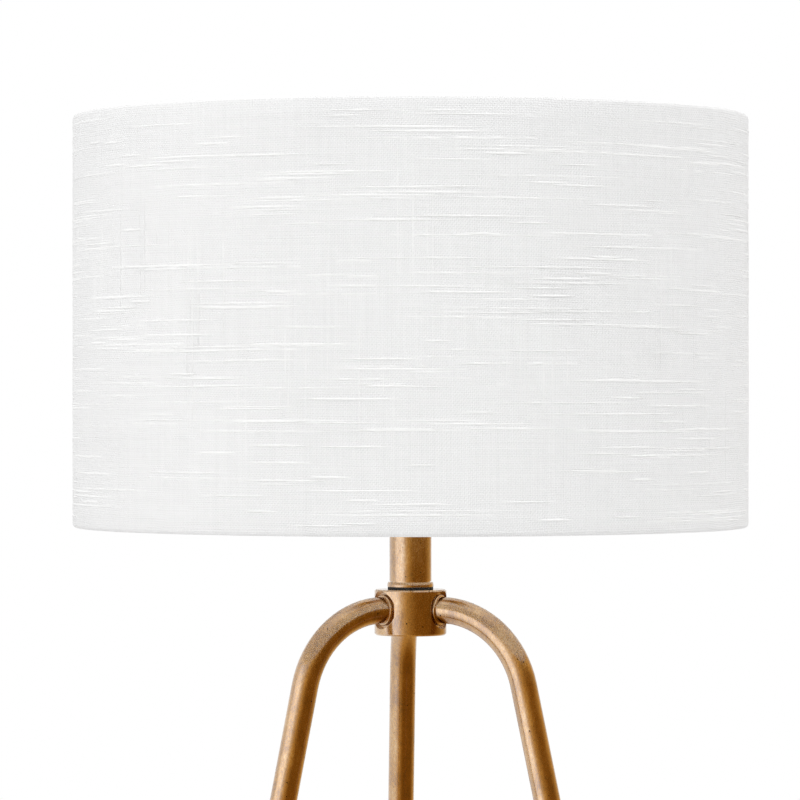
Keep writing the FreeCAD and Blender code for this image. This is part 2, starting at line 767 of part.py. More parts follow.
def makeSwitch():
    shaft = newBody("switch_shaft", shaftLevel, "-90")
    revolve(shaft, outline(newSketch(shaft, "XZ_Plane"), [
        ("Lamp.shaftIn", "0"),
        ("Lamp.shaftOut", "0"),
        ("Lamp.shaftOut", "Lamp.shaftDia / 2"),
        ("Lamp.shaftIn", "Lamp.shaftDia / 2"),
    ]), "H_Axis")
    key = newBody("switch_knob", shaftLevel, "-90")
    bossEnd = "(Lamp.keyStart + Lamp.keyBossLong)"
    keyCentre = f"{bossEnd} + Lamp.keyDia / 2 - Lamp.keyThick"
    blade = circle(newSketch(key, "XZ_Plane"), "Lamp.keyDia", keyCentre)
    extrude(key, blade, "Lamp.keyThick", middle=True)
    roundEdges(key, "Lamp.keyRound", lambda edge: isRing(edge, "Lamp.keyDia / 2"))
    revolve(key, outline(newSketch(key, "XZ_Plane"), [
        ("Lamp.keyStart", "0"),
        (bossEnd, "0"),
        (bossEnd, "Lamp.keyBossDia / 2"),
        ("Lamp.keyStart", "Lamp.keyBossDia / 2"),
    ]), "H_Axis")
    bore = circle(newSketch(key, "YZ_Plane", "Lamp.keyStart"), "Lamp.shaftDia + 2 * Lamp.fitClear")
    extrude(key, bore, "Lamp.shaftOut - Lamp.keyStart", cuts=True, reverse=True)


def bulbProfile(inset):
    """One side of the bulb from its neck to its top, moved in by the glass's thickness."""
    ball = f"(Lamp.bulbDia / 2 - {inset})"
    middle = "(Lamp.bulbHigh - Lamp.bulbDia / 2)"
    flare = f"(Lamp.bulbFlare + {inset})"
    neck = f"(Lamp.bulbNeckDia / 2 - {inset})"
    ballX = f"({ball} * cos(Lamp.bulbSlope))"
    ballZ = f"({middle} - {ball} * sin(Lamp.bulbSlope))"
    flareX = f"({neck} + {flare} * (1 - cos(Lamp.bulbSlope)))"
    flareZ = f"({ballZ} - ({ballX} - {flareX}) / tan(Lamp.bulbSlope))"
    neckZ = f"({flareZ} - {flare} * sin(Lamp.bulbSlope))"
    return [
        (neck, neckZ),
        (flareX, flareZ, "right", flare),
        (ballX, ballZ),
        (ball, middle, "left", ball),
        ("0", f"{middle} + {ball}", "left", ball),
    ]


def makeBulb():
    outer = bulbProfile("0")
    inner = bulbProfile("Lamp.bulbWall")
    foot = "Lamp.bulbBaseHigh"
    back = [inner[4], (*inner[3][:2], "right", inner[4][3]), (*inner[2][:2], "right", inner[3][3])]
    back += [inner[1][:2], (*inner[0][:2], "left", inner[1][3])]
    corners = [(outer[0][0], foot)] + outer + [back[0][:2]] + back[1:] + [(inner[0][0], foot)]
    turned("bulb_glass", corners, bulbSeat)
    edge = "Lamp.bulbBaseDia / 2"
    collar = "Lamp.bulbNeckDia / 2"
    low = "Lamp.bulbInsulatorHigh"
    throat = "Lamp.bulbInsulatorDia / 2"
    turned("bulb_base", [
        (throat, low),
        (edge, f"{low} + {edge} - {throat}"),
        (edge, foot),
        (f"{edge} - Lamp.bulbBaseWall", foot),
        (f"{edge} - Lamp.bulbBaseWall", f"{low} + {edge} - {throat} + Lamp.bulbBaseWall"),
        (f"{throat}", f"{low} + 2 * Lamp.bulbBaseWall"),
    ], bulbSeat)
    contact = "Lamp.bulbContactDia / 2"
    turned("bulb_insulator", [
        ("0", "Lamp.bulbContactHigh"),
        (contact, "Lamp.bulbContactHigh"),
        (throat, low),
        (throat, f"{low} + 2 * Lamp.bulbBaseWall"),
        ("0", f"{low} + 2 * Lamp.bulbBaseWall"),
    ], bulbSeat)
    turned("bulb_contact", [
        ("0", "0"),
        (f"{contact} / 2", "0"),
        (contact, "Lamp.bulbContactHigh / 2"),
        (contact, "Lamp.bulbContactHigh"),
        ("0", "Lamp.bulbContactHigh"),
    ], bulbSeat)


# The harp's two big bends, from where its foot stands and where its top runs level:
# the bow goes out and in again, and the shoulder turns it over the bulb.
harpRise = "(Lamp.harpHigh - Lamp.seatThick - Lamp.bracketWall - Lamp.harpWireDia / 2)"
bowAcross = "(cos(Lamp.harpTuck) - cos(Lamp.harpLean))"
bowUp = "(sin(Lamp.harpTuck) + sin(Lamp.harpLean))"
leftAcross = "(Lamp.saddleHalf + Lamp.harpKink * (1 - cos(Lamp.harpLean)) - Lamp.harpFlat)"
leftUp = f"({harpRise} - Lamp.harpStraight - Lamp.harpKink * sin(Lamp.harpLean))"
harpDivisor = f"({bowAcross} * (1 - sin(Lamp.harpTuck)) + {bowUp} * cos(Lamp.harpTuck))"
bowRadius = f"(({leftUp} * cos(Lamp.harpTuck) - {leftAcross} * (1 - sin(Lamp.harpTuck))) / {harpDivisor})"
shoulderRadius = f"(({leftUp} * {bowAcross} + {leftAcross} * {bowUp}) / {harpDivisor})"
shaftHole = "(Lamp.shaftDia + 2 * Lamp.fitClear)"


def harpPath():
    """The wire's centre line from the left foot over the bulb to the right foot."""
    kinkX = "(Lamp.saddleHalf + Lamp.harpKink * (1 - cos(Lamp.harpLean)))"
    kinkZ = "(Lamp.harpStraight + Lamp.harpKink * sin(Lamp.harpLean))"
    tuckX = f"({kinkX} + {bowRadius} * {bowAcross})"
    tuckZ = f"({kinkZ} + {bowRadius} * {bowUp})"
    widestX = f"({kinkX} + {bowRadius} * (1 - cos(Lamp.harpLean)))"
    widestZ = f"({kinkZ} + {bowRadius} * sin(Lamp.harpLean))"
    return [
        ("-Lamp.saddleHalf", "0"),
        ("-Lamp.saddleHalf", "Lamp.harpStraight"),
        (f"-{kinkX}", kinkZ, "left", "Lamp.harpKink"),
        (f"-{widestX}", widestZ, "right", bowRadius),
        (f"-{tuckX}", tuckZ, "right", bowRadius),
        ("-Lamp.harpFlat", harpRise, "right", shoulderRadius),
        ("Lamp.harpFlat", harpRise),
        (tuckX, tuckZ, "right", shoulderRadius),
        (widestX, widestZ, "right", bowRadius),
        (kinkX, kinkZ, "right", bowRadius),
        ("Lamp.saddleHalf", "Lamp.harpStraight", "left", "Lamp.harpKink"),
        ("Lamp.saddleHalf", "0"),
    ]


def makeHarp():
    harp = newBody("harp_wire", harpBase)
    path = outline(newSketch(harp, "XZ_Plane"), harpPath(), closed=False)
    section = circle(newSketch(harp, "XY_Plane"), "Lamp.harpWireDia", "-Lamp.saddleHalf")
    sweep(harp, section, path)
    half = "(Lamp.saddleThick / 2 + Lamp.fitClear)"
    for side in ("", "-"):
        slot = outline(newSketch(harp, "XZ_Plane"), [
            (f"{side}Lamp.saddleHalf - {half}", "-1"),
            (f"{side}Lamp.saddleHalf + {half}", "-1"),
            (f"{side}Lamp.saddleHalf + {half}", "Lamp.tabHigh + Lamp.slideClear"),
            (f"{side}Lamp.saddleHalf - {half}", "Lamp.tabHigh + Lamp.slideClear"),
        ])
        extrude(harp, slot, "2 * Lamp.harpWireDia", cuts=True, middle=True)


def makeBracket():
    """The crimped block that joins the harp's top to the finial's stud."""
    bracket = newBody("harp_bracket", f"{harpBase} + {harpRise}")
    half = "Lamp.harpWireDia / 2 + Lamp.bracketWall"
    block = outline(newSketch(bracket, "YZ_Plane"), [
        ("-Lamp.bracketWide / 2", "0"),
        ("0", f"-({half})", "left", "Lamp.bracketWide / 2"),
        ("Lamp.bracketWide / 2", "0", "left", "Lamp.bracketWide / 2"),
        ("Lamp.bracketWide / 2", half),
        ("-Lamp.bracketWide / 2", half),
    ])
    extrude(bracket, block, "Lamp.bracketLong", middle=True)
    bore = circle(newSketch(bracket, "YZ_Plane"), "Lamp.harpWireDia + 2 * Lamp.fitClear")
    extrude(bracket, bore, "2 * Lamp.bracketLong", cuts=True, middle=True)
    rivet = circle(newSketch(bracket, "XY_Plane", half), "Lamp.rivetDia + 2 * Lamp.fitClear")
    extrude(bracket, rivet, "Lamp.rivetDeep", cuts=True)


def makeStud():
    turned("finial_stud", [
        ("0", "-Lamp.seatThick - Lamp.rivetDeep"),
        ("Lamp.rivetDia / 2", "-Lamp.seatThick - Lamp.rivetDeep"),
        ("Lamp.rivetDia / 2", "-Lamp.seatThick"),
        ("Lamp.seatDia / 2", "-Lamp.seatThick"),
        ("Lamp.seatDia / 2", "0"),
        ("Lamp.studDia / 2", "0"),
        ("Lamp.studDia / 2", "Lamp.studLong - Lamp.rodChamfer"),
        ("Lamp.studDia / 2 - Lamp.rodChamfer", "Lamp.studLong"),
        ("0", "Lamp.studLong"),
    ], seatLevel)


def makeSleeve(name, side):
    """A ferrule that slides down over a foot of the harp and locks it on its tab."""
    sleeve = turned(name, [
        ("Lamp.harpWireDia / 2 + Lamp.slideClear", "0"),
        ("Lamp.sleeveDia / 2", "0"),
        ("Lamp.sleeveDia / 2", "Lamp.sleeveLong - Lamp.sleeveChamfer"),
        ("Lamp.sleeveDia / 2 - Lamp.sleeveChamfer", "Lamp.sleeveLong"),
        ("Lamp.harpWireDia / 2 + Lamp.slideClear", "Lamp.sleeveLong"),
    ], harpBase)
    sleeve.setExpression("Placement.Base.x", f"{side}Lamp.saddleHalf")
    doc.recompute()


def makeFinial():
    hole = "(Lamp.studDia / 2 + Lamp.fitClear)"
    deep = "(Lamp.studLong - Lamp.spiderWasherThick + Lamp.rodChamfer)"
    base = "Lamp.finialBaseDia / 2"
    neck = "(Lamp.finialNeckDia / 2)"
    ball = "(Lamp.finialBallDia / 2)"
    tip = "(Lamp.finialTipDia / 2)"
    coveTop = f"(Lamp.finialBaseThick + {base} - {neck})"
    ballFoot = f"(Lamp.finialBallUp - sqrt({ball}^2 - {neck}^2))"
    ballHead = f"(Lamp.finialBallUp + sqrt({ball}^2 - {tip}^2))"
    turned("finial", [
        (hole, "0"),
        (base, "0"),
        (base, "Lamp.finialBaseThick"),
        (neck, coveTop, "right", f"{base} - {neck}"),
        (neck, ballFoot),
        (ball, "Lamp.finialBallUp", "left", ball),
        (tip, ballHead, "left", ball),
        (tip, f"Lamp.finialHigh - {tip}"),
        ("0", "Lamp.finialHigh", "left", tip),
        ("0", deep),
        (hole, deep),
    ], finialBase)


def hem(level, direction):
    """The outer and inner sides of a hem rolled round its ring, from the drum's wall inward."""
    reach = "Lamp.ringWireDia / 2"
    outer = hemOutside
    tuckX = "cos(Lamp.hemTuck)"
    tuckZ = "sin(Lamp.hemTuck)"

    def point(across, up, radius):
        return f"{ringCentre} + {across} * {radius}", f"{level} {direction} {up} * {radius}"

    outside = [point(1, 0, outer), point(0, 1, outer), point(-1, 0, outer)]
    outside.append(point(tuckX, f"(-{tuckZ})", outer))
    inside = [point(1, 0, reach), point(0, 1, reach), point(-1, 0, reach)]
    inside.append(point(tuckX, f"(-{tuckZ})", reach))
    return outside, inside


def makeShadeFabric():
    """The linen skin: a drum whose edges roll inward round the two rings."""
    outer = hemOutside
    reach = "Lamp.ringWireDia / 2"
    topOut, topIn = hem(f"(Lamp.shadeHigh - {outer})", "+")
    lowOut, lowIn = hem(outer, "-")
    corners = [lowOut[0], topOut[0]]
    corners += [(*point, "left", outer) for point in topOut[1:]]
    corners += [topIn[3]]
    corners += [(*point, "right", reach) for point in reversed(topIn[:3])]
    corners += [lowIn[0]]
    corners += [(*point, "right", reach) for point in lowIn[1:]]
    corners += [lowOut[3]]
    corners += [(*point, "left", outer) for point in reversed(lowOut[1:3])]
    corners[0] = (*lowOut[0], "left", outer)
    fabric = turned("shade_fabric", corners, shadeBase, "Lamp.legFirst")
    notch = newSketch(fabric, "YZ_Plane", f"{ringCentre} - 2 * {outer}")
    circle(notch, "Lamp.armDia + 2 * Lamp.hemClear", "0", f"Lamp.shadeHigh - {outer}")
    first = extrude(fabric, notch, f"2 * {outer}", cuts=True, reverse=True)
    around(fabric, [first], 3)


def makeShadeFrame():
    outer = hemOutside
    margin = f"(2 * {outer} + Lamp.hemClear)"
    wall = "(Lamp.shadeDia / 2 - Lamp.fabricThick - Lamp.glueThick)"
    ring("shade_liner", f"{wall} - Lamp.linerThick", wall, f"Lamp.shadeHigh - 2 * {margin}",
         f"{shadeBase} + {margin}")
    for name, level in (("top_ring", f"{shadeTop} - {outer}"), ("bottom_ring", f"{shadeBase} + {outer}")):
        wire = doc.addObject("Part::Torus", name)
        wire.Label = name
        wire.setExpression("Radius1", ringCentre)
        wire.setExpression("Radius2", "Lamp.ringWireDia / 2")
        wire.setExpression("Placement.Base.z", level)
    ring("spider_washer", "Lamp.spiderHoleDia / 2", "Lamp.spiderWasherDia / 2",
         "Lamp.spiderWasherThick", seatLevel)


def makeSpiderArm(name, azimuth):
    """A wire from the top ring down to the washer, cut to fit the ring and flat on the washer."""
    arm = newBody(name, seatLevel, azimuth)
    ringUp = f"(Lamp.shadeDrop - {hemOutside})"
    washerUp = "(Lamp.spiderWasherThick + Lamp.armDia / 2 - Lamp.armFlat)"
    start = f"({ringCentre} - Lamp.armInset)"
    bend = "(Lamp.armBend * tan(Lamp.armSlope / 2))"
    high = f"({ringCentre} - Lamp.armStub)"
    low = f"({high} - ({ringUp} - {washerUp}) / tan(Lamp.armSlope))"
    runX = f"({bend} * cos(Lamp.armSlope))"
    runZ = f"({bend} * sin(Lamp.armSlope))"
    path = outline(newSketch(arm, "XZ_Plane"), [
        (start, ringUp),
        (f"{high} + {bend}", ringUp),
        (f"{high} - {runX}", f"{ringUp} - {runZ}", "left", "Lamp.armBend"),
        (f"{low} + {runX}", f"{washerUp} + {runZ}"),
        (f"{low} - {bend}", washerUp, "right", "Lamp.armBend"),
        ("Lamp.armEnd", washerUp),
    ], closed=False)
    section = circle(newSketch(arm, "YZ_Plane", start), "Lamp.armDia", "0", ringUp)
    sweep(arm, section, path)
    cope = circle(newSketch(arm, "XZ_Plane"), "Lamp.ringWireDia", ringCentre, ringUp)
    revolve(arm, cope, cuts=True)
    flat = circle(newSketch(arm, "XY_Plane"), "Lamp.spiderWasherDia + 4 * Lamp.armDia")
    extrude(arm, flat, "Lamp.spiderWasherThick", cuts=True, reverse=True)


legs = {"rear": "Lamp.legFirst", "left": "Lamp.legFirst + 120", "right": "Lamp.legFirst + 240"}

makeHub()
makeHubPlug()
for side, azimuth in legs.items():
    leg = makeLeg(f"{side}_leg", azimuth)
    makeFootCap(f"{side}_foot_cap", azimuth)
    makeSpiderArm(f"spider_arm_{side}", azimuth)
    if side == "rear":
        cutInlet(leg)
        makeGrommet(azimuth)
makeNeck()
makeRod()
makeSaddle()
makeSaddleNut()
makeSocketCap()
makeSetScrew()
makeSocketShell()
makeSocketLining()
makeSocketCore()
makeLampHolder()
makeTerminalScrews()
makeSwitch()
makeBulb()
makeHarp()
makeBracket()
makeStud()
makeSleeve("harp_sleeve_left", "-")
makeSleeve("harp_sleeve_right", "")
makeFinial()
makeShadeFabric()
makeShadeFrame()
doc.recompute()

for item in doc.Objects:
    if "Invalid" in item.State or "Error" in item.State:
        raise RuntimeError(f"{item.Label} failed: {item.State}")

helpers = {"nutBlank", "nutHole"}
kinds = ("PartDesign::Body", "Part::Cut", "Part::Torus")
parts = [item for item in doc.Objects if item.TypeId in kinds and item.Name not in helpers]
for part in parts:
    if part.Shape.isNull() or not part.Shape.isValid():
        raise RuntimeError(f"{part.Label} has no valid shape")
for part in parts:
    part.Shape.exportStep(f"parts/{part.Label}.step")
    print(f"{part.Label}: {len(part.Shape.Solids)} solid, {part.Shape.Volume:.1f} mm3")
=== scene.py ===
import json
import math

import bpy
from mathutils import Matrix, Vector


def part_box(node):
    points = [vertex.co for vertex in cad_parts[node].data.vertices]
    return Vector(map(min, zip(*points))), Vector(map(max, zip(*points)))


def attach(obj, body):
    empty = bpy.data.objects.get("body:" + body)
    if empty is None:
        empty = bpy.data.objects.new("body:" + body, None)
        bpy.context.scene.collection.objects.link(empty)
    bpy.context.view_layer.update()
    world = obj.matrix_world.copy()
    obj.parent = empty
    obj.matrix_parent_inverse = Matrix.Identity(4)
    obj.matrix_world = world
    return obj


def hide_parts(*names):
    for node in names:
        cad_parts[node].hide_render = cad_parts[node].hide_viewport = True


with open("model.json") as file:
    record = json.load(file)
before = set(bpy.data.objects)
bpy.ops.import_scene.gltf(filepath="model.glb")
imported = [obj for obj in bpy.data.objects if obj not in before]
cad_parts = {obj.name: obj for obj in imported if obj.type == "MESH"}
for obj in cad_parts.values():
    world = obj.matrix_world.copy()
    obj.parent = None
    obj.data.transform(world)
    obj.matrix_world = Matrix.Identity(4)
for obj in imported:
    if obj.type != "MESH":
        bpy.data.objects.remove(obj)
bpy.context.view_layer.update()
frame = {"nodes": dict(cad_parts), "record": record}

nodes = frame["nodes"]
scene = bpy.context.scene
scene.view_settings.view_transform = "Standard"
print("frame loaded,", len(nodes), "nodes")

mm = 0.001
tau = 2 * math.pi
white = (1.0, 1.0, 1.0, 1.0)


# node-tree helpers, used by the materials and by Geometry Nodes

def put(tree, kind, inputs=None, **settings):
    node = tree.nodes.new(kind)
    for name, value in settings.items():
        setattr(node, name, value)
    for key, value in (inputs or {}).items():
        if isinstance(value, bpy.types.NodeSocket):
            tree.links.new(value, node.inputs[key])
        else:
            node.inputs[key].default_value = value
    return node


def maths(tree, operation, *values, clamp=False):
    node = put(tree, "ShaderNodeMath", dict(enumerate(values)), operation=operation, use_clamp=clamp)
    return node.outputs[0]


def vectorMaths(tree, operation, *values):
    # a length or a dot product comes out as a number
    node = put(tree, "ShaderNodeVectorMath", dict(enumerate(values)), operation=operation)
    return node.outputs["Value" if operation in ("LENGTH", "DOT_PRODUCT") else "Vector"]


def joined(tree, x=0.0, y=0.0, z=0.0):
    return put(tree, "ShaderNodeCombineXYZ", {0: x, 1: y, 2: z}).outputs[0]


def ramp(tree, value, low, high, first=0.0, last=1.0, smooth=True):
    kind = "SMOOTHSTEP" if smooth else "LINEAR"
    inputs = {"Value": value, "From Min": low, "From Max": high, "To Min": first, "To Max": last}
    return put(tree, "ShaderNodeMapRange", inputs, interpolation_type=kind).outputs["Result"]


def mixColour(tree, mask, first, second):
    return put(tree, "ShaderNodeMix", {0: mask, 6: first, 7: second}, data_type="RGBA").outputs[2]


def noise(tree, vector, scale, detail=3.0, roughness=0.5):
    inputs = {"Vector": vector, "Scale": scale, "Detail": detail, "Roughness": roughness}
    return put(tree, "ShaderNodeTexNoise", inputs).outputs[0]


def shape(tree, kind, **inputs):
    named = {key.replace("_", " "): value for key, value in inputs.items()}
    return put(tree, "GeometryNode" + kind, named).outputs[0]


def rgba(colour):
    return (*colour, 1.0)


def newTree(name, kind, inputs, outputs):
    tree = bpy.data.node_groups.new(name, kind)
    for label, socketType, value in inputs:
        socket = tree.interface.new_socket(label, in_out="INPUT", socket_type="NodeSocket" + socketType)
        if value is not None:
            socket.default_value = value
    for label, socketType in outputs:
        tree.interface.new_socket(label, in_out="OUTPUT", socket_type="NodeSocket" + socketType)
    return tree, tree.nodes.new("NodeGroupInput").outputs, tree.nodes.new("NodeGroupOutput").inputs


# shader groups that several finishes share

tarnish = {
    "drawn": (1.0, 1.0, 0.4),
    "fineScale": 9.0,
    "broadShare": 0.45,
    "fineShare": 0.55,
    "dark": (0.44, 0.66),
    "rubbed": (0.49, 0.36),
    "pitsAbove": 0.45,
    "grainScale": 30.0,
    "grainRelief": 0.4,
}


def makePatina():
    tree, given, result = newTree("patina", "ShaderNodeTree", [
        ("Vector", "Vector", None), ("Cloud", "Float", 130.0), ("Pit Spacing", "Float", 0.0030),
        ("Pit Size", "Float", 0.15)],
        [("Tarnish", "Float"), ("Rubbed", "Float"), ("Pits", "Float"), ("Height", "Float")])
    vector, cloud = given["Vector"], given["Cloud"]
    drawn = vectorMaths(tree, "MULTIPLY", vector, tarnish["drawn"])
    broad = noise(tree, drawn, cloud, detail=4.0, roughness=0.6)
    fineScale = maths(tree, "MULTIPLY", cloud, tarnish["fineScale"])
    fine = noise(tree, drawn, fineScale, detail=5.0, roughness=0.75)
    broadPart = maths(tree, "MULTIPLY", broad, tarnish["broadShare"])
    finePart = maths(tree, "MULTIPLY", fine, tarnish["fineShare"])
    both = maths(tree, "ADD", broadPart, finePart)
    tree.links.new(ramp(tree, both, *tarnish["dark"]), result["Tarnish"])
    tree.links.new(ramp(tree, both, *tarnish["rubbed"]), result["Rubbed"])
    scale = maths(tree, "DIVIDE", 1.0, given["Pit Spacing"])
    cells = put(tree, "ShaderNodeTexVoronoi", {"Vector": vector, "Scale": scale, "Randomness": 1.0})
    picked = put(tree, "ShaderNodeSeparateColor", {"Color": cells.outputs["Color"]}).outputs
    size = maths(tree, "MULTIPLY", given["Pit Size"], picked[0])
    inside = maths(tree, "LESS_THAN", cells.outputs["Distance"], size)
    pitted = maths(tree, "GREATER_THAN", picked[1], tarnish["pitsAbove"])
    pits = maths(tree, "MULTIPLY", inside, pitted)
    tree.links.new(pits, result["Pits"])
    grain = noise(tree, vector, maths(tree, "MULTIPLY", cloud, tarnish["grainScale"]), detail=2.0)
    raised = maths(tree, "MULTIPLY", grain, tarnish["grainRelief"])
    tree.links.new(maths(tree, "SUBTRACT", raised, pits), result["Height"])
    return tree


edge = {
    "samples": 4,
    "turned": (0.995, 0.90),
    "uneven": (0.35, 0.6),
}


def makeEdgeWear():
    tree, given, result = newTree("edgeWear", "ShaderNodeTree", [
        ("Vector", "Vector", None), ("Width", "Float", 0.0006), ("Breakup", "Float", 400.0)],
        [("Mask", "Float")])
    bevel = put(tree, "ShaderNodeBevel", {"Radius": given["Width"]}, samples=edge["samples"]).outputs[0]
    normal = put(tree, "ShaderNodeNewGeometry").outputs["Normal"]
    turn = ramp(tree, vectorMaths(tree, "DOT_PRODUCT", bevel, normal), *edge["turned"])
    uneven = ramp(tree, noise(tree, given["Vector"], given["Breakup"], roughness=0.6), *edge["uneven"])
    tree.links.new(maths(tree, "MULTIPLY", turn, uneven), result["Mask"])
    return tree


def makeGrain():
    tree, given, result = newTree("grain", "ShaderNodeTree", [
        ("Vector", "Vector", None), ("Scale", "Float", 900.0), ("Cloud", "Float", 40.0),
        ("Broad Share", "Float", 0.5)],
        [("Fine", "Float"), ("Broad", "Float"), ("Height", "Float")])
    fine = noise(tree, given["Vector"], given["Scale"], detail=4.0, roughness=0.65)
    broad = noise(tree, given["Vector"], given["Cloud"])
    tree.links.new(fine, result["Fine"])
    tree.links.new(broad, result["Broad"])
    height = maths(tree, "ADD", fine, maths(tree, "MULTIPLY", broad, given["Broad Share"]))
    tree.links.new(height, result["Height"])
    return tree


woven = {
    "wanderScale": 28.0,
    "wander": 4 * mm,
    "stretch": (0.9, 1.1),
    "streaks": ((1500.0, 12.0, 1.0), (10.0, 1300.0, 1.0)),
    "streakRelief": 2.0,
    # painted light: how much lighter the weave's thread crests are painted
    "paintedCrestShade": 0.35,
}


def makeWeave():
    tree, given, result = newTree("plainWeave", "ShaderNodeTree", [
        ("Vector", "Vector", None), ("Pitch", "Float", 0.001), ("Unevenness", "Float", 0.5)],
        [("Height", "Float"), ("Shade", "Float")])
    vector = given["Vector"]
    place = put(tree, "ShaderNodeSeparateXYZ", {0: vector}).outputs
    drift = maths(tree, "SUBTRACT", noise(tree, vector, woven["wanderScale"], detail=2.0), 0.5)
    shift = maths(tree, "MULTIPLY", drift, woven["wander"])
    waves = []
    for along, stretch in zip(place, woven["stretch"]):
        pitch = maths(tree, "MULTIPLY", given["Pitch"], stretch)
        turns = maths(tree, "DIVIDE", maths(tree, "ADD", along, shift), pitch)
        waves.append(maths(tree, "SINE", maths(tree, "MULTIPLY", turns, math.pi)))
    over = maths(tree, "GREATER_THAN", maths(tree, "MULTIPLY", *waves), 0.0)
    warp, weft = [maths(tree, "ABSOLUTE", wave) for wave in waves]
    threads = put(tree, "ShaderNodeMix", {0: over, 2: warp, 3: weft}, data_type="FLOAT").outputs[0]
    thick = []
    for streak in woven["streaks"]:
        line = noise(tree, vectorMaths(tree, "MULTIPLY", vector, streak), 1.0, detail=2.0, roughness=0.6)
        thick.append(maths(tree, "SUBTRACT", line, 0.5))
    uneven = maths(tree, "MULTIPLY", maths(tree, "ADD", *thick), given["Unevenness"])
    raised = maths(tree, "MULTIPLY", uneven, woven["streakRelief"])
    tree.links.new(maths(tree, "ADD", threads, raised), result["Height"])
    # painted shade: the weave's thread crests and raised streaks are painted lighter and its hollows darker,
    # as light would fall on them
    paintedCrestLight = maths(tree, "MULTIPLY", threads, woven["paintedCrestShade"])
    tree.links.new(maths(tree, "ADD", paintedCrestLight, uneven), result["Shade"])
    return tree


groups = {"patina": makePatina(), "edgeWear": makeEdgeWear(), "grain": makeGrain(), "weave": makeWeave()}


def useGroup(tree, name, **inputs):
    named = {key.replace("_", " "): value for key, value in inputs.items()}
    return put(tree, "ShaderNodeGroup", named, node_tree=groups[name]).outputs


# finishes; colours are linear

def newMaterial(name, **plain):
    material = bpy.data.materials.new(name)
    material.use_nodes = True
    tree = material.node_tree
    shader = tree.nodes["Principled BSDF"]
    for key, value in plain.items():
        shader.inputs[key.replace("_", " ")].default_value = value
    return material, tree, shader


def ownPlace(tree):
    return put(tree, "ShaderNodeTexCoord").outputs["Object"]


# the part of each noise that its two colours or roughnesses are spread over
spread = {
    "fine": (0.3, 0.7),
    "cloud": (0.35, 0.65),
}


def setRough(tree, shader, fine, rough):
    tree.links.new(ramp(tree, fine, *spread["fine"], *rough), shader.inputs["Roughness"])


def bump(tree, shader, height, distance):
    node = put(tree, "ShaderNodeBump", {"Height": height, "Distance": distance})
    tree.links.new(node.outputs[0], shader.inputs["Normal"])


antique = {
    "deep": (0.25, 0.098, 0.012),
    "gold": (0.50, 0.245, 0.036),
    "rubbed": (0.66, 0.43, 0.19),
    "rubbedShare": 0.75,
    "pit": (0.02, 0.008, 0.004),
    "pitRough": 0.3,
    "rough": (0.24, 0.36),
    "lacquer": 0.9,
    "lacquerRough": 0.14,
    "lacquerIndex": 2.6,
    "relief": 0.10 * mm,
}


def makeAntiqueBrass():
    material, tree, shader = newMaterial(
        "antiqueBrass", Metallic=1.0, Coat_Roughness=antique["lacquerRough"], Coat_IOR=antique["lacquerIndex"])
    place = ownPlace(tree)
    patina = useGroup(tree, "patina", Vector=place)
    wear = useGroup(tree, "edgeWear", Vector=place)["Mask"]
    base = mixColour(tree, patina["Tarnish"], rgba(antique["gold"]), rgba(antique["deep"]))
    handled = maths(tree, "MULTIPLY", patina["Rubbed"], antique["rubbedShare"])
    base = mixColour(tree, maths(tree, "MAXIMUM", handled, wear), base, rgba(antique["rubbed"]))
    base = mixColour(tree, patina["Pits"], base, rgba(antique["pit"]))
    tree.links.new(base, shader.inputs["Base Color"])
    rough = ramp(tree, patina["Tarnish"], 0.0, 1.0, *antique["rough"], smooth=False)
    rough = maths(tree, "ADD", rough, maths(tree, "MULTIPLY", patina["Pits"], antique["pitRough"]))
    tree.links.new(rough, shader.inputs["Roughness"])
    lacquer = maths(tree, "SUBTRACT", antique["lacquer"], patina["Pits"], clamp=True)
    tree.links.new(lacquer, shader.inputs["Coat Weight"])
    bump(tree, shader, patina["Height"], antique["relief"])
    return material


metal = {
    "wornLighter": 1.25,
    "toned": (0.4, 0.7),
    "relief": 0.03 * mm,
}


def makePlainMetal(name, base, dull, rough):
    material, tree, shader = newMaterial(name, Metallic=1.0)
    place = ownPlace(tree)
    grain = useGroup(tree, "grain", Vector=place)
    wear = useGroup(tree, "edgeWear", Vector=place)["Mask"]
    bright = [min(1.0, part * metal["wornLighter"]) for part in base]
    toned = mixColour(tree, ramp(tree, grain["Broad"], *metal["toned"]), rgba(base), rgba(dull))
    tree.links.new(mixColour(tree, wear, toned, rgba(bright)), shader.inputs["Base Color"])
    setRough(tree, shader, grain["Fine"], rough)
    bump(tree, shader, grain["Height"], metal["relief"])
    return material


def makeMatte(name, light, dark, rough, relief):
    material, tree, shader = newMaterial(name)
    grain = useGroup(tree, "grain", Vector=ownPlace(tree))
    cloud = maths(tree, "MULTIPLY", maths(tree, "ADD", grain["Fine"], grain["Broad"]), 0.5)
    tone = mixColour(tree, ramp(tree, cloud, *spread["cloud"]), rgba(dark), rgba(light))
    tree.links.new(tone, shader.inputs["Base Color"])
    setRough(tree, shader, grain["Fine"], rough)
    bump(tree, shader, grain["Height"], relief)
    return material


linen = {
    # lit and shaded tones of one white linen, painted over the weave's crests and hollows
    "light": (0.895, 0.895, 0.895),
    "dark": (0.775, 0.775, 0.775),
    "shade": (-0.25, 0.45),
    "pitch": 1.0 * mm,
    "relief": 0.16 * mm,
}


def makeLinen():
    material, tree, shader = newMaterial(
        "whiteLinen", Roughness=0.9, Sheen_Weight=0.15, Specular_IOR_Level=0.2)
    flat = put(tree, "ShaderNodeUVMap", uv_map="cut").outputs[0]
    weave = useGroup(tree, "weave", Vector=flat, Pitch=linen["pitch"])
    # painted shade: the cloth's colour follows the weave's painted crest light and streak shade
    shade = ramp(tree, weave["Shade"], *linen["shade"], smooth=False)
    tone = mixColour(tree, shade, rgba(linen["dark"]), rgba(linen["light"]))
    tree.links.new(tone, shader.inputs["Base Color"])
    bump(tree, shader, weave["Height"], linen["relief"])
    return material


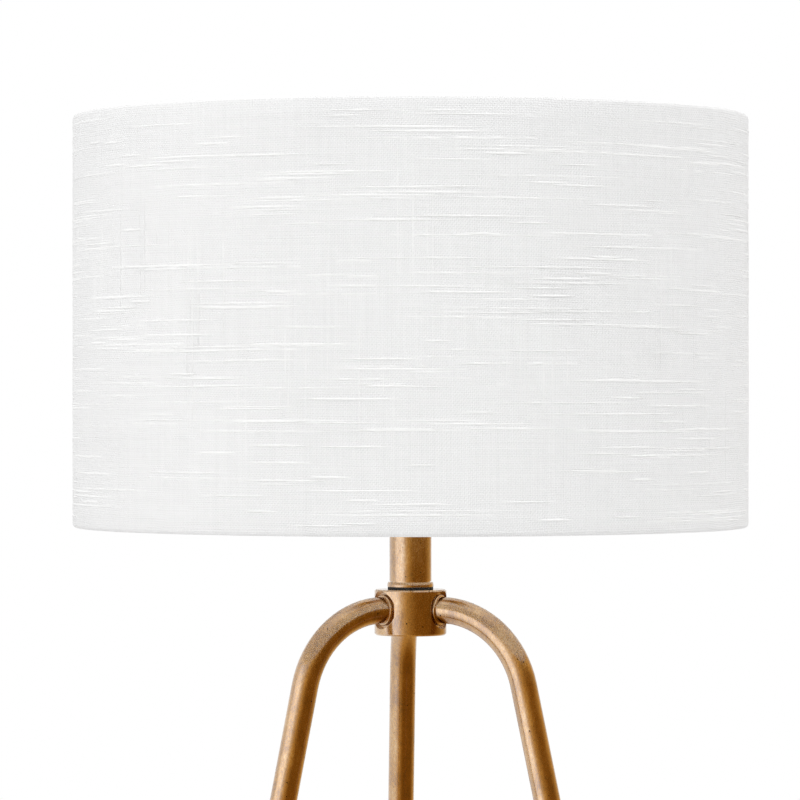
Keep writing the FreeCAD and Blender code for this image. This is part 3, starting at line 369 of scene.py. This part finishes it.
yarn = {
    "light": (0.9, 0.9, 0.895),
    "dark": (0.84, 0.84, 0.835),
    "fibres": (1.0, 1.0, 14.0),
    "fibreScale": 260.0,
    "relief": 0.06 * mm,
}


def makeSlubThread():
    material, tree, shader = newMaterial(
        "linenThread", Roughness=0.85, Sheen_Weight=0.15, Specular_IOR_Level=0.2)
    drawn = vectorMaths(tree, "MULTIPLY", ownPlace(tree), yarn["fibres"])
    fibres = noise(tree, drawn, yarn["fibreScale"], detail=4.0, roughness=0.7)
    tone = mixColour(tree, ramp(tree, fibres, *spread["fine"]), rgba(yarn["dark"]), rgba(yarn["light"]))
    tree.links.new(tone, shader.inputs["Base Color"])
    bump(tree, shader, fibres, yarn["relief"])
    return material


frosted = {
    "light": (0.98, 0.97, 0.95),
    "dark": (0.94, 0.93, 0.90),
    "rough": (0.28, 0.4),
    "grain": 1500.0,
    "relief": 0.01 * mm,
}


def makeFrostedGlass():
    material, tree, shader = newMaterial(
        "frostedGlass", Transmission_Weight=0.12, IOR=1.5, Subsurface_Weight=0.3, Subsurface_Scale=0.006,
        Subsurface_Radius=(1.0, 1.0, 1.0))
    grain = useGroup(tree, "grain", Vector=ownPlace(tree), Scale=frosted["grain"])
    tone = mixColour(tree, grain["Broad"], rgba(frosted["dark"]), rgba(frosted["light"]))
    tree.links.new(tone, shader.inputs["Base Color"])
    setRough(tree, shader, grain["Fine"], frosted["rough"])
    bump(tree, shader, grain["Fine"], frosted["relief"])
    return material


metals = {
    "plated_brass": {"name": "platedBrass", "base": (0.80, 0.60, 0.30), "dull": (0.62, 0.42, 0.18),
                     "rough": (0.16, 0.30)},
    "zinc_steel": {"name": "zincSteel", "base": (0.66, 0.66, 0.64), "dull": (0.50, 0.50, 0.49),
                   "rough": (0.25, 0.42)},
}
mattes = {
    "black_rubber": {"name": "blackRubber", "light": (0.028, 0.028, 0.028), "dark": (0.014, 0.014, 0.014),
                     "rough": (0.6, 0.8), "relief": 0.06 * mm},
    "white_wire": {"name": "whiteWire", "light": (0.82, 0.815, 0.80), "dark": (0.76, 0.755, 0.74),
                   "rough": (0.32, 0.45), "relief": 0.02 * mm},
    "white_styrene": {"name": "whiteStyrene", "light": (0.87, 0.865, 0.85), "dark": (0.83, 0.825, 0.81),
                      "rough": (0.5, 0.62), "relief": 0.01 * mm},
    "black_glass": {"name": "blackGlass", "light": (0.02, 0.02, 0.022), "dark": (0.012, 0.012, 0.013),
                    "rough": (0.08, 0.14), "relief": 0.01 * mm},
    "phenolic": {"name": "phenolic", "light": (0.05, 0.028, 0.018), "dark": (0.022, 0.013, 0.009),
                 "rough": (0.25, 0.4), "relief": 0.02 * mm},
    "fibre_paper": {"name": "fibrePaper", "light": (0.42, 0.31, 0.19), "dark": (0.30, 0.21, 0.12),
                    "rough": (0.75, 0.9), "relief": 0.05 * mm},
}
finishes = {
    "antique_brass": makeAntiqueBrass(),
    "white_linen": makeLinen(),
    "frosted_glass": makeFrostedGlass(),
}
finishes.update({slot: makePlainMetal(**look) for slot, look in metals.items()})
finishes.update({slot: makeMatte(**look) for slot, look in mattes.items()})
linenThread = makeSlubThread()


def dress(piece, material):
    piece.data.materials.clear()
    piece.data.materials.append(material)


for row in frame["record"]["subparts"]:
    node = nodes[row["node"]]
    if node.material_slots:
        for filled in node.material_slots:
            filled.material = finishes[row["material_slot"]]
    else:
        node.data.materials.append(finishes[row["material_slot"]])
print("finishes made,", len(finishes))


def newPiece(name, points, faces, cut=None):
    mesh = bpy.data.meshes.new(name)
    mesh.from_pydata(points, [], faces)
    if cut:
        layer = mesh.uv_layers.new(name="cut")
        for loop in mesh.loops:
            layer.data[loop.index].uv = cut[loop.vertex_index]
    piece = bpy.data.objects.new(name, mesh)
    scene.collection.objects.link(piece)
    return piece


def applied(piece):
    # the modifiers' result becomes the piece's own mesh
    graph = bpy.context.evaluated_depsgraph_get()
    made = piece.evaluated_get(graph)
    mesh = bpy.data.meshes.new_from_object(made, preserve_all_data_layers=True, depsgraph=graph)
    piece.modifiers.clear()
    piece.data = mesh
    return piece


sharpestAngle = 50


def thicken(piece, thick, side, even=False):
    # gives a sheet its wall and shades it smooth, apart from its sharp edges
    wall = piece.modifiers.new("wall", "SOLIDIFY")
    wall.thickness = thick
    wall.offset = side
    wall.use_even_offset = even
    applied(piece)
    piece.data.shade_smooth()
    piece.data.set_sharp_from_angle(angle=math.radians(sharpestAngle))


# the linen skin: one strip, glued edge over edge, whose long edges roll in round the ring wires
skin = {
    "columns": 480,
    "wallRows": 26,
    "hemRows": 12,
    "hemTurn": 290,
    "thick": 0.6 * mm,
    "seamAngle": 69,
    "lapCells": 4,
    "rampCells": 3,
    "lapLift": 0.65 * mm,
    "wander": 0.10 * mm,
    "ripples": ((1.0, 5, 31, 0), (0.6, 13, -47, 1)),
    "armAngles": (90, 210, 330),
    "notchCells": 1,
    "notchFrom": 100,
}
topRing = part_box("top_ring")
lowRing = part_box("bottom_ring")
wireRadius = (topRing[1].z - topRing[0].z) / 2
ringRadius = topRing[1].x - wireRadius
topLevel = (topRing[0].z + topRing[1].z) / 2
lowLevel = (lowRing[0].z + lowRing[1].z) / 2
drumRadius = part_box("shade_fabric")[1].x
rollRadius = wireRadius + skin["thick"] / 2
wallRadius = ringRadius + rollRadius
hemTurn = math.radians(skin["hemTurn"])
hemLong = rollRadius * hemTurn
wallHigh = topLevel - lowLevel


def skinRows():
    # each row: level of the roll's centre, angle round it, length along the strip, how free the cloth is
    rows = []
    for step in range(skin["hemRows"] + 1):
        share = step / skin["hemRows"]
        rows.append((lowLevel, -hemTurn * (1 - share), hemLong * share, 0.0))
    for step in range(1, skin["wallRows"]):
        share = step / skin["wallRows"]
        up = wallHigh * share
        rows.append((lowLevel + up, 0.0, hemLong + up, math.sin(math.pi * share)))
    for step in range(skin["hemRows"] + 1):
        share = step / skin["hemRows"]
        rows.append((topLevel, hemTurn * share, hemLong + wallHigh + hemLong * share, 0.0))
    return rows


def rippleAt(angle, level):
    # each ripple: share of the whole, waves round the drum, radians per metre up, shift
    waves = [share * math.sin(around * angle + up * level + shift)
             for share, around, up, shift in skin["ripples"]]
    return sum(waves)


def notchedColumns(cell):
    # the columns that a spider arm passes through
    columns = set()
    for arm in skin["armAngles"]:
        middle = round((arm - skin["seamAngle"]) / math.degrees(cell))
        columns.update(range(middle - skin["notchCells"], middle + skin["notchCells"]))
    return columns


def makeSkin():
    rows = skinRows()
    cell = tau / skin["columns"]
    start = math.radians(skin["seamAngle"])
    last = skin["columns"] + skin["lapCells"]
    points, cut, faces = [], [], []
    for column in range(last + 1):
        angle = start + column * cell
        rise = min(max((column - skin["columns"]) / skin["rampCells"] + 1, 0), 1)
        lift = skin["lapLift"] * rise * rise * (3 - 2 * rise)
        for level, roll, length, free in rows:
            reach = rollRadius + lift + skin["wander"] * free * rippleAt(angle, level)
            radius = ringRadius + reach * math.cos(roll)
            height = level + reach * math.sin(roll)
            points.append((radius * math.cos(angle), radius * math.sin(angle), height))
            cut.append((wallRadius * column * cell, length))
    notched = notchedColumns(cell)
    for column in range(last):
        for row in range(len(rows) - 1):
            inside = rows[row][1] > math.radians(skin["notchFrom"])
            if inside and column % skin["columns"] in notched:
                continue
            corner = column * len(rows) + row
            faces.append((corner, corner + len(rows), corner + len(rows) + 1, corner + 1))
    piece = newPiece("linen_skin", points, faces, cut)
    thicken(piece, skin["thick"], 0, even=True)
    dress(piece, finishes["white_linen"])
    return piece


linenSkin = makeSkin()


# thick places in the yarn: spindles laid on the flat strip, then bent round the drum
slubs = {
    "weft": {
        "Count": 760, "Seed": 3, "Shortest": 0.020, "Longest": 0.120, "Width": 1.1 * mm,
        "Relief": 0.38 * mm, "Turn": 0.0, "Lean": 0.003, "Margin": 3 * mm,
    },
    "warp": {
        "Count": 260, "Seed": 8, "Shortest": 0.015, "Longest": 0.090, "Width": 0.6 * mm,
        "Relief": 0.13 * mm, "Turn": math.pi / 2, "Lean": 0.003, "Margin": 48 * mm,
    },
    "segments": 6,
    "rings": 10,
    "mostlyShort": 1.6,
    "widths": (0.28, 0.62),
    "reliefs": (0.6, 1.2),
    "wobble": 0.6 * mm,
    "wobbleScale": 22.0,
}


def finishTree(tree, solid, given, result):
    solid = shape(tree, "SetShadeSmooth", Geometry=solid, Shade_Smooth=True)
    solid = shape(tree, "SetMaterial", Geometry=solid, Material=given["Material"])
    tree.links.new(solid, result["Geometry"])
    return tree


def makeSlubTree():
    tree, given, result = newTree("slubs", "GeometryNodeTree", [
        ("Count", "Int", 100), ("Seed", "Int", 1), ("Shortest", "Float", 0.01), ("Longest", "Float", 0.08),
        ("Width", "Float", 0.001), ("Relief", "Float", 0.0002), ("Turn", "Float", 0.0),
        ("Lean", "Float", 0.0), ("Wobble", "Float", 0.001), ("Radius", "Float", 0.1778),
        ("Low", "Float", 0.42), ("High", "Float", 0.63), ("Margin", "Float", 0.003),
        ("Material", "Material", None)], [("Geometry", "Geometry")])

    def chance(low, high, salt):
        # the salt keeps one draw apart from the others
        inputs = {2: low, 3: high, "Seed": maths(tree, "ADD", given["Seed"], salt)}
        return put(tree, "FunctionNodeRandomValue", inputs, data_type="FLOAT").outputs[1]

    around = maths(tree, "MULTIPLY", given["Radius"], tau)
    low = maths(tree, "ADD", given["Low"], given["Margin"])
    high = maths(tree, "SUBTRACT", given["High"], given["Margin"])
    place = joined(tree, x=chance(0.0, around, 11), z=chance(low, high, 23))
    cloud = shape(tree, "Points", Count=given["Count"], Position=place)
    short = maths(tree, "POWER", chance(0.0, 1.0, 37), slubs["mostlyShort"])
    extra = maths(tree, "MULTIPLY", maths(tree, "SUBTRACT", given["Longest"], given["Shortest"]), short)
    length = maths(tree, "MULTIPLY", maths(tree, "ADD", given["Shortest"], extra), 0.5)
    width = maths(tree, "MULTIPLY", given["Width"], chance(*slubs["widths"], 41))
    relief = maths(tree, "MULTIPLY", given["Relief"], chance(*slubs["reliefs"], 43))
    lean = maths(tree, "MULTIPLY", given["Lean"], chance(-1.0, 1.0, 53))

    # one spindle: a ball along X, drawn thin towards its ends
    ball = shape(tree, "MeshUVSphere", Segments=slubs["segments"], Rings=slubs["rings"])
    ball = shape(tree, "Transform", Geometry=ball, Rotation=(0, math.pi / 2, 0))
    spot = shape(tree, "InputPosition")
    part = put(tree, "ShaderNodeSeparateXYZ", {0: spot}).outputs
    left = maths(tree, "SUBTRACT", 1.0, maths(tree, "POWER", part[0], 2.0), clamp=True)
    taper = maths(tree, "SQRT", left)
    thin = [maths(tree, "MULTIPLY", part[axis], taper) for axis in (1, 2)]
    ball = shape(tree, "SetPosition", Geometry=ball, Position=joined(tree, part[0], *thin))

    leaning = joined(tree, y=maths(tree, "ADD", given["Turn"], lean))
    solid = shape(tree, "InstanceOnPoints", Points=cloud, Instance=ball, Rotation=leaning,
                  Scale=joined(tree, length, relief, width))
    solid = shape(tree, "RealizeInstances", Geometry=solid)
    wavering = {"Vector": spot, "Scale": slubs["wobbleScale"], "Detail": 2.0}
    drift = put(tree, "ShaderNodeTexNoise", wavering).outputs[1]
    drift = vectorMaths(tree, "SUBTRACT", drift, (0.5, 0.5, 0.5))
    drift = vectorMaths(tree, "MULTIPLY", drift, joined(tree, x=given["Wobble"], z=given["Wobble"]))
    solid = shape(tree, "SetPosition", Geometry=solid, Offset=drift)

    # the flat strip's X runs round the drum, its Y stands out from it
    angle = maths(tree, "DIVIDE", part[0], given["Radius"])
    out = maths(tree, "MULTIPLY", maths(tree, "ADD", given["Radius"], part[1]), -1.0)
    bent = [maths(tree, "MULTIPLY", out, maths(tree, turned, angle)) for turned in ("SINE", "COSINE")]
    solid = shape(tree, "SetPosition", Geometry=solid, Position=joined(tree, *bent, part[2]))
    return finishTree(tree, solid, given, result)


def grow(name, tree, values):
    piece = newPiece(name, [], [])
    modifier = piece.modifiers.new("grow", "NODES")
    modifier.node_group = tree
    for socket in tree.interface.items_tree:
        if socket.name in values and socket.in_out == "INPUT":
            modifier[socket.identifier] = values[socket.name]
    return applied(piece)


slubTree = makeSlubTree()
slubPieces = []
for thread in ("weft", "warp"):
    values = {**slubs[thread], "Wobble": slubs["wobble"], "Radius": drumRadius, "Low": lowLevel,
              "High": topLevel, "Material": linenThread}
    slubPieces.append(grow("linen_slubs_" + thread, slubTree, values))
print("slubs made,", [len(piece.data.polygons) for piece in slubPieces], "faces")


# rows of small raised ridges round an axis: the key's grip and the crimped rim of the socket's cap
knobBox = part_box("switch_knob")
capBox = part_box("socket_cap")
ridgeRows = {
    "knob_ridges": {
        "Count": 28, "Radius": (knobBox[1].z - knobBox[0].z) / 2, "Length": 2.4 * mm, "Width": 0.9 * mm,
        "Relief": 0.3 * mm, "Turn": math.pi / 2, "Centre": (knobBox[0] + knobBox[1]) / 2,
        "Material": finishes["phenolic"],
    },
    "cap_ridges": {
        "Count": 64, "Radius": capBox[1].x, "Length": 3.6 * mm, "Width": 0.8 * mm,
        "Relief": 0.2 * mm, "Turn": 0.0, "Centre": Vector((0, 0, capBox[1].z - 2.5 * mm)),
        "Material": finishes["plated_brass"],
    },
}
ridgeBall = {"Segments": 8, "Rings": 5}


def makeRidgeTree():
    tree, given, result = newTree("ridges", "GeometryNodeTree", [
        ("Count", "Int", 24), ("Radius", "Float", 0.01), ("Length", "Float", 0.003),
        ("Width", "Float", 0.001), ("Relief", "Float", 0.0002), ("Turn", "Float", 0.0),
        ("Centre", "Vector", None), ("Material", "Material", None)], [("Geometry", "Geometry")])
    ring = shape(tree, "MeshCircle", Vertices=given["Count"], Radius=given["Radius"])
    share = maths(tree, "DIVIDE", shape(tree, "InputIndex"), given["Count"])
    turned = joined(tree, z=maths(tree, "MULTIPLY", share, tau))
    half = [maths(tree, "MULTIPLY", given[side], 0.5) for side in ("Width", "Length")]
    ball = shape(tree, "MeshUVSphere", **ridgeBall)
    solid = shape(tree, "InstanceOnPoints", Points=ring, Instance=ball, Rotation=turned,
                  Scale=joined(tree, given["Relief"], *half))
    solid = shape(tree, "RealizeInstances", Geometry=solid)
    tilt = joined(tree, y=given["Turn"])
    solid = shape(tree, "Transform", Geometry=solid, Rotation=tilt, Translation=given["Centre"])
    return finishTree(tree, solid, given, result)


ridgeTree = makeRidgeTree()
ridges = {name: grow(name, ridgeTree, values) for name, values in ridgeRows.items()}
print("ridges made,", len(ridges), "rows")


# thin metal sleeves with a rolled right-hand thread: the bulb's cap and the shell that it screws into
rolled = {
    "pitch": 3.63 * mm,
    "columns": 72,
    "rowsPerTurn": 12,
}
bulbSleeve = {
    "throat": 9.0 * mm,
    "coneHigh": 2.4 * mm,
    "coneIn": 1.0 * mm,
    "threadFrom": 4.1 * mm,
    "threadTo": 2.4 * mm,
    "collarFrom": 1.8 * mm,
    "collarIn": 0.1 * mm,
    "lipIn": 0.25 * mm,
    "depth": 0.38 * mm,
    "wall": 0.35 * mm,
}
shellSleeve = {
    "throat": 9.6 * mm,
    "cornerIn": 0.3 * mm,
    "threadFrom": 1.0 * mm,
    "threadTo": 1.4 * mm,
    "flareFrom": 0.7 * mm,
    "depth": 0.25 * mm,
    "wall": 0.3 * mm,
}


def makeRolledSleeve(name, profile, depth, wall, side, material):
    # profile is (level, radius) from the foot up; the thread runs from its third point to its third last
    pitch = rolled["pitch"]
    low, high = profile[2][0], profile[-3][0]
    rows = [profile[0]]
    for first, second in zip(profile, profile[1:]):
        steps = max(1, math.ceil(math.dist(first, second) * rolled["rowsPerTurn"] / pitch))
        for step in range(1, steps + 1):
            rows.append(tuple(a + (b - a) * step / steps for a, b in zip(first, second)))
    points, faces = [], []
    columns = rolled["columns"]
    for level, radius in rows:
        fade = max(0, min(1, 2 * (level - low) / pitch, 2 * (high - level) / pitch))
        for column in range(columns):
            angle = tau * column / columns
            reach = radius + depth * fade * math.sin(tau * level / pitch - angle)
            points.append((reach * math.cos(angle), reach * math.sin(angle), level))
    for row in range(len(rows) - 1):
        for column in range(columns):
            corner, beside = row * columns + column, row * columns + (column + 1) % columns
            faces.append((corner, beside, beside + columns, corner + columns))
    piece = newPiece(name, points, faces)
    thicken(piece, wall, side)
    dress(piece, finishes[material])
    return piece


def makeBulbCap():
    low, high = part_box("bulb_base")
    reach = high.x - bulbSleeve["depth"]
    profile = [
        (low.z, bulbSleeve["throat"]),
        (low.z + bulbSleeve["coneHigh"], reach - bulbSleeve["coneIn"]),
        (low.z + bulbSleeve["threadFrom"], reach),
        (high.z - bulbSleeve["threadTo"], reach),
        (high.z - bulbSleeve["collarFrom"], high.x - bulbSleeve["collarIn"]),
        (high.z, high.x - bulbSleeve["lipIn"]),
    ]
    wall = bulbSleeve["wall"]
    return makeRolledSleeve("bulb_thread", profile, bulbSleeve["depth"], wall, -1, "zinc_steel")


def makeScrewShell():
    low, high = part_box("screw_shell")
    wall = shellSleeve["wall"]
    reach = high.x - wall - shellSleeve["depth"]
    profile = [
        (low.z + wall, shellSleeve["throat"]),
        (low.z + wall, reach - shellSleeve["cornerIn"]),
        (low.z + shellSleeve["threadFrom"], reach),
        (high.z - shellSleeve["threadTo"], reach),
        (high.z - shellSleeve["flareFrom"], reach),
        (high.z, reach + shellSleeve["depth"]),
    ]
    return makeRolledSleeve("shell_thread", profile, shellSleeve["depth"], wall, 1, "plated_brass")


bulbCap = makeBulbCap()
screwShell = makeScrewShell()
print("rolled threads made")


# floor and light; angles are from the camera's side of the lamp, positive to the right
studio = {
    "ambient": 0.67,
    "ambientTilt": 0.7,
    "lamps": {
        "keyLight": {"azimuth": -48, "reach": 1.8, "height": 1.8, "size": 1.2, "power": 14.5},
        "fillLight": {"azimuth": 66, "reach": 2.1, "height": 2.2, "size": 0.8, "power": 14.5},
        "topLight": {"azimuth": 0, "reach": 0.3, "height": 2.6, "size": 1.6, "power": 4.0},
    },
    "lampAim": 0.45,
    "room": (
        {"angle": 55, "lift": -0.5, "edge": (-0.30, 0.38), "colour": (0.70, 0.44, 0.13)},
        {"angle": 50, "lift": -0.5, "edge": (0.30, 0.80), "colour": (0.26, 0.115, 0.012)},
        {"angle": -67, "lift": 0.1, "edge": (0.80, 0.97), "colour": (1.65, 1.72, 1.88)},
    ),
    "mirrorLevel": 0.37,
    "floorTones": ((0.79, 0.79, 0.79), (0.80, 0.80, 0.80)),
    "floorCloud": 6.0,
    "floorRadius": 2.2,
    "floorSides": 96,
    "fade": (0.7, 2.0),
}


def makeRoom():
    # what metal mirrors: a white room with a bright window on the left and a warm unlit side on the right
    tree, given, result = newTree("mirroredRoom", "ShaderNodeTree", [("Direction", "Vector", None)],
                                  [("Colour", "Color")])
    colour = white
    for side in studio["room"]:
        turn = math.radians(side["angle"])
        aim = Vector((math.sin(turn), -math.cos(turn), side["lift"])).normalized()
        mask = ramp(tree, vectorMaths(tree, "DOT_PRODUCT", given["Direction"], aim), *side["edge"])
        colour = mixColour(tree, mask, colour, rgba(side["colour"]))
    tree.links.new(colour, result["Colour"])
    return tree


groups["room"] = makeRoom()


def rayKinds(tree):
    # rays that see the plain white studio, and rays that mirror the room
    rays = put(tree, "ShaderNodeLightPath").outputs
    seen = maths(tree, "MAXIMUM", rays["Is Camera Ray"], rays["Is Transmission Ray"])
    return seen, rays["Is Glossy Ray"]


def makeFloor():
    sides, radius = studio["floorSides"], studio["floorRadius"]
    angles = [tau * step / sides for step in range(sides)]
    rim = [(radius * math.cos(angle), radius * math.sin(angle), 0) for angle in angles]
    floor = newPiece("floor", rim, [tuple(range(sides))])
    material, tree, shader = newMaterial("paleFloor", Roughness=0.8)
    place = ownPlace(tree)
    tones = [rgba(tone) for tone in studio["floorTones"]]
    tone = mixColour(tree, noise(tree, place, studio["floorCloud"]), *tones)
    tree.links.new(tone, shader.inputs["Base Color"])
    seen, mirrored = rayKinds(tree)
    away = ramp(tree, vectorMaths(tree, "LENGTH", place), *studio["fade"])
    share = maths(tree, "MAXIMUM", maths(tree, "MULTIPLY", seen, away), mirrored)
    # painted reflection: to mirror rays the floor glows with the mirrored room's colours, its warm dark side
    # included, in place of the lit floor
    fromHub = vectorMaths(tree, "SUBTRACT", place, (0, 0, studio["mirrorLevel"]))
    room = useGroup(tree, "room", Direction=vectorMaths(tree, "NORMALIZE", fromHub))["Colour"]
    glow = put(tree, "ShaderNodeEmission", {"Color": mixColour(tree, mirrored, white, room)}).outputs[0]
    both = put(tree, "ShaderNodeMixShader", {0: share, 1: shader.outputs[0], 2: glow}).outputs[0]
    tree.links.new(both, tree.nodes["Material Output"].inputs["Surface"])
    dress(floor, material)


def makeWorld():
    world = bpy.data.worlds.new("studio")
    scene.world = world
    world.use_nodes = True
    tree = world.node_tree
    direction = put(tree, "ShaderNodeTexCoord").outputs["Generated"]
    room = useGroup(tree, "room", Direction=direction)["Colour"]
    up = put(tree, "ShaderNodeSeparateXYZ", {0: direction}).outputs[2]
    ambient = studio["ambient"]
    soft = maths(tree, "MULTIPLY_ADD", up, ambient * studio["ambientTilt"], ambient)
    seen, mirrored = rayKinds(tree)
    level = mixColour(tree, mirrored, joined(tree, soft, soft, soft), room)
    background = tree.nodes["Background"].inputs
    tree.links.new(mixColour(tree, seen, level, white), background["Color"])
    background["Strength"].default_value = 1.0


def makeLamp(name, azimuth, reach, height, size, power):
    lamp = bpy.data.lights.new(name, "AREA")
    lamp.size = size
    lamp.energy = power
    holder = bpy.data.objects.new(name, lamp)
    turn = math.radians(azimuth)
    holder.location = (reach * math.sin(turn), -reach * math.cos(turn), height)
    aim = Vector((0, 0, studio["lampAim"])) - holder.location
    holder.rotation_euler = aim.to_track_quat("-Z", "Y").to_euler()
    holder.visible_camera = False
    holder.visible_glossy = False
    scene.collection.objects.link(holder)


# the camera stands level, turned a little round the lamp
view = {
    "lens": 197.1,
    "sensor": 36.0,
    "farthest": 200,
    "distance": 2.3114,
    "height": 0.48185,
    "turn": 3.5,
    "aside": -5.54 * mm,
}


def makeCamera():
    camera = bpy.data.objects.new("camera", bpy.data.cameras.new("camera"))
    camera.data.lens = view["lens"]
    camera.data.sensor_width = view["sensor"]
    camera.data.clip_end = view["farthest"]
    turn = math.radians(view["turn"])
    ahead = Vector((math.sin(turn), math.cos(turn), 0))
    right = Vector((math.cos(turn), -math.sin(turn), 0))
    camera.location = Vector((0, 0, view["height"])) - ahead * view["distance"] + right * view["aside"]
    camera.rotation_euler = ahead.to_track_quat("-Z", "Y").to_euler()
    scene.collection.objects.link(camera)
    scene.camera = camera


makeFloor()
makeWorld()
for name, placing in studio["lamps"].items():
    makeLamp(name, **placing)
makeCamera()
print("studio made")

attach(linenSkin, "shade")
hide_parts("shade_fabric")
for piece in slubPieces:
    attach(piece, "shade")
metalwork = (
    (ridges["knob_ridges"], "switch", "phenolic"),
    (ridges["cap_ridges"], "stand", "plated_brass"),
    (bulbCap, "bulb", "zinc_steel"),
    (screwShell, "stand", "plated_brass"),
)
for piece, body, slot in metalwork:
    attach(piece, body)
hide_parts("bulb_base")
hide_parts("screw_shell")
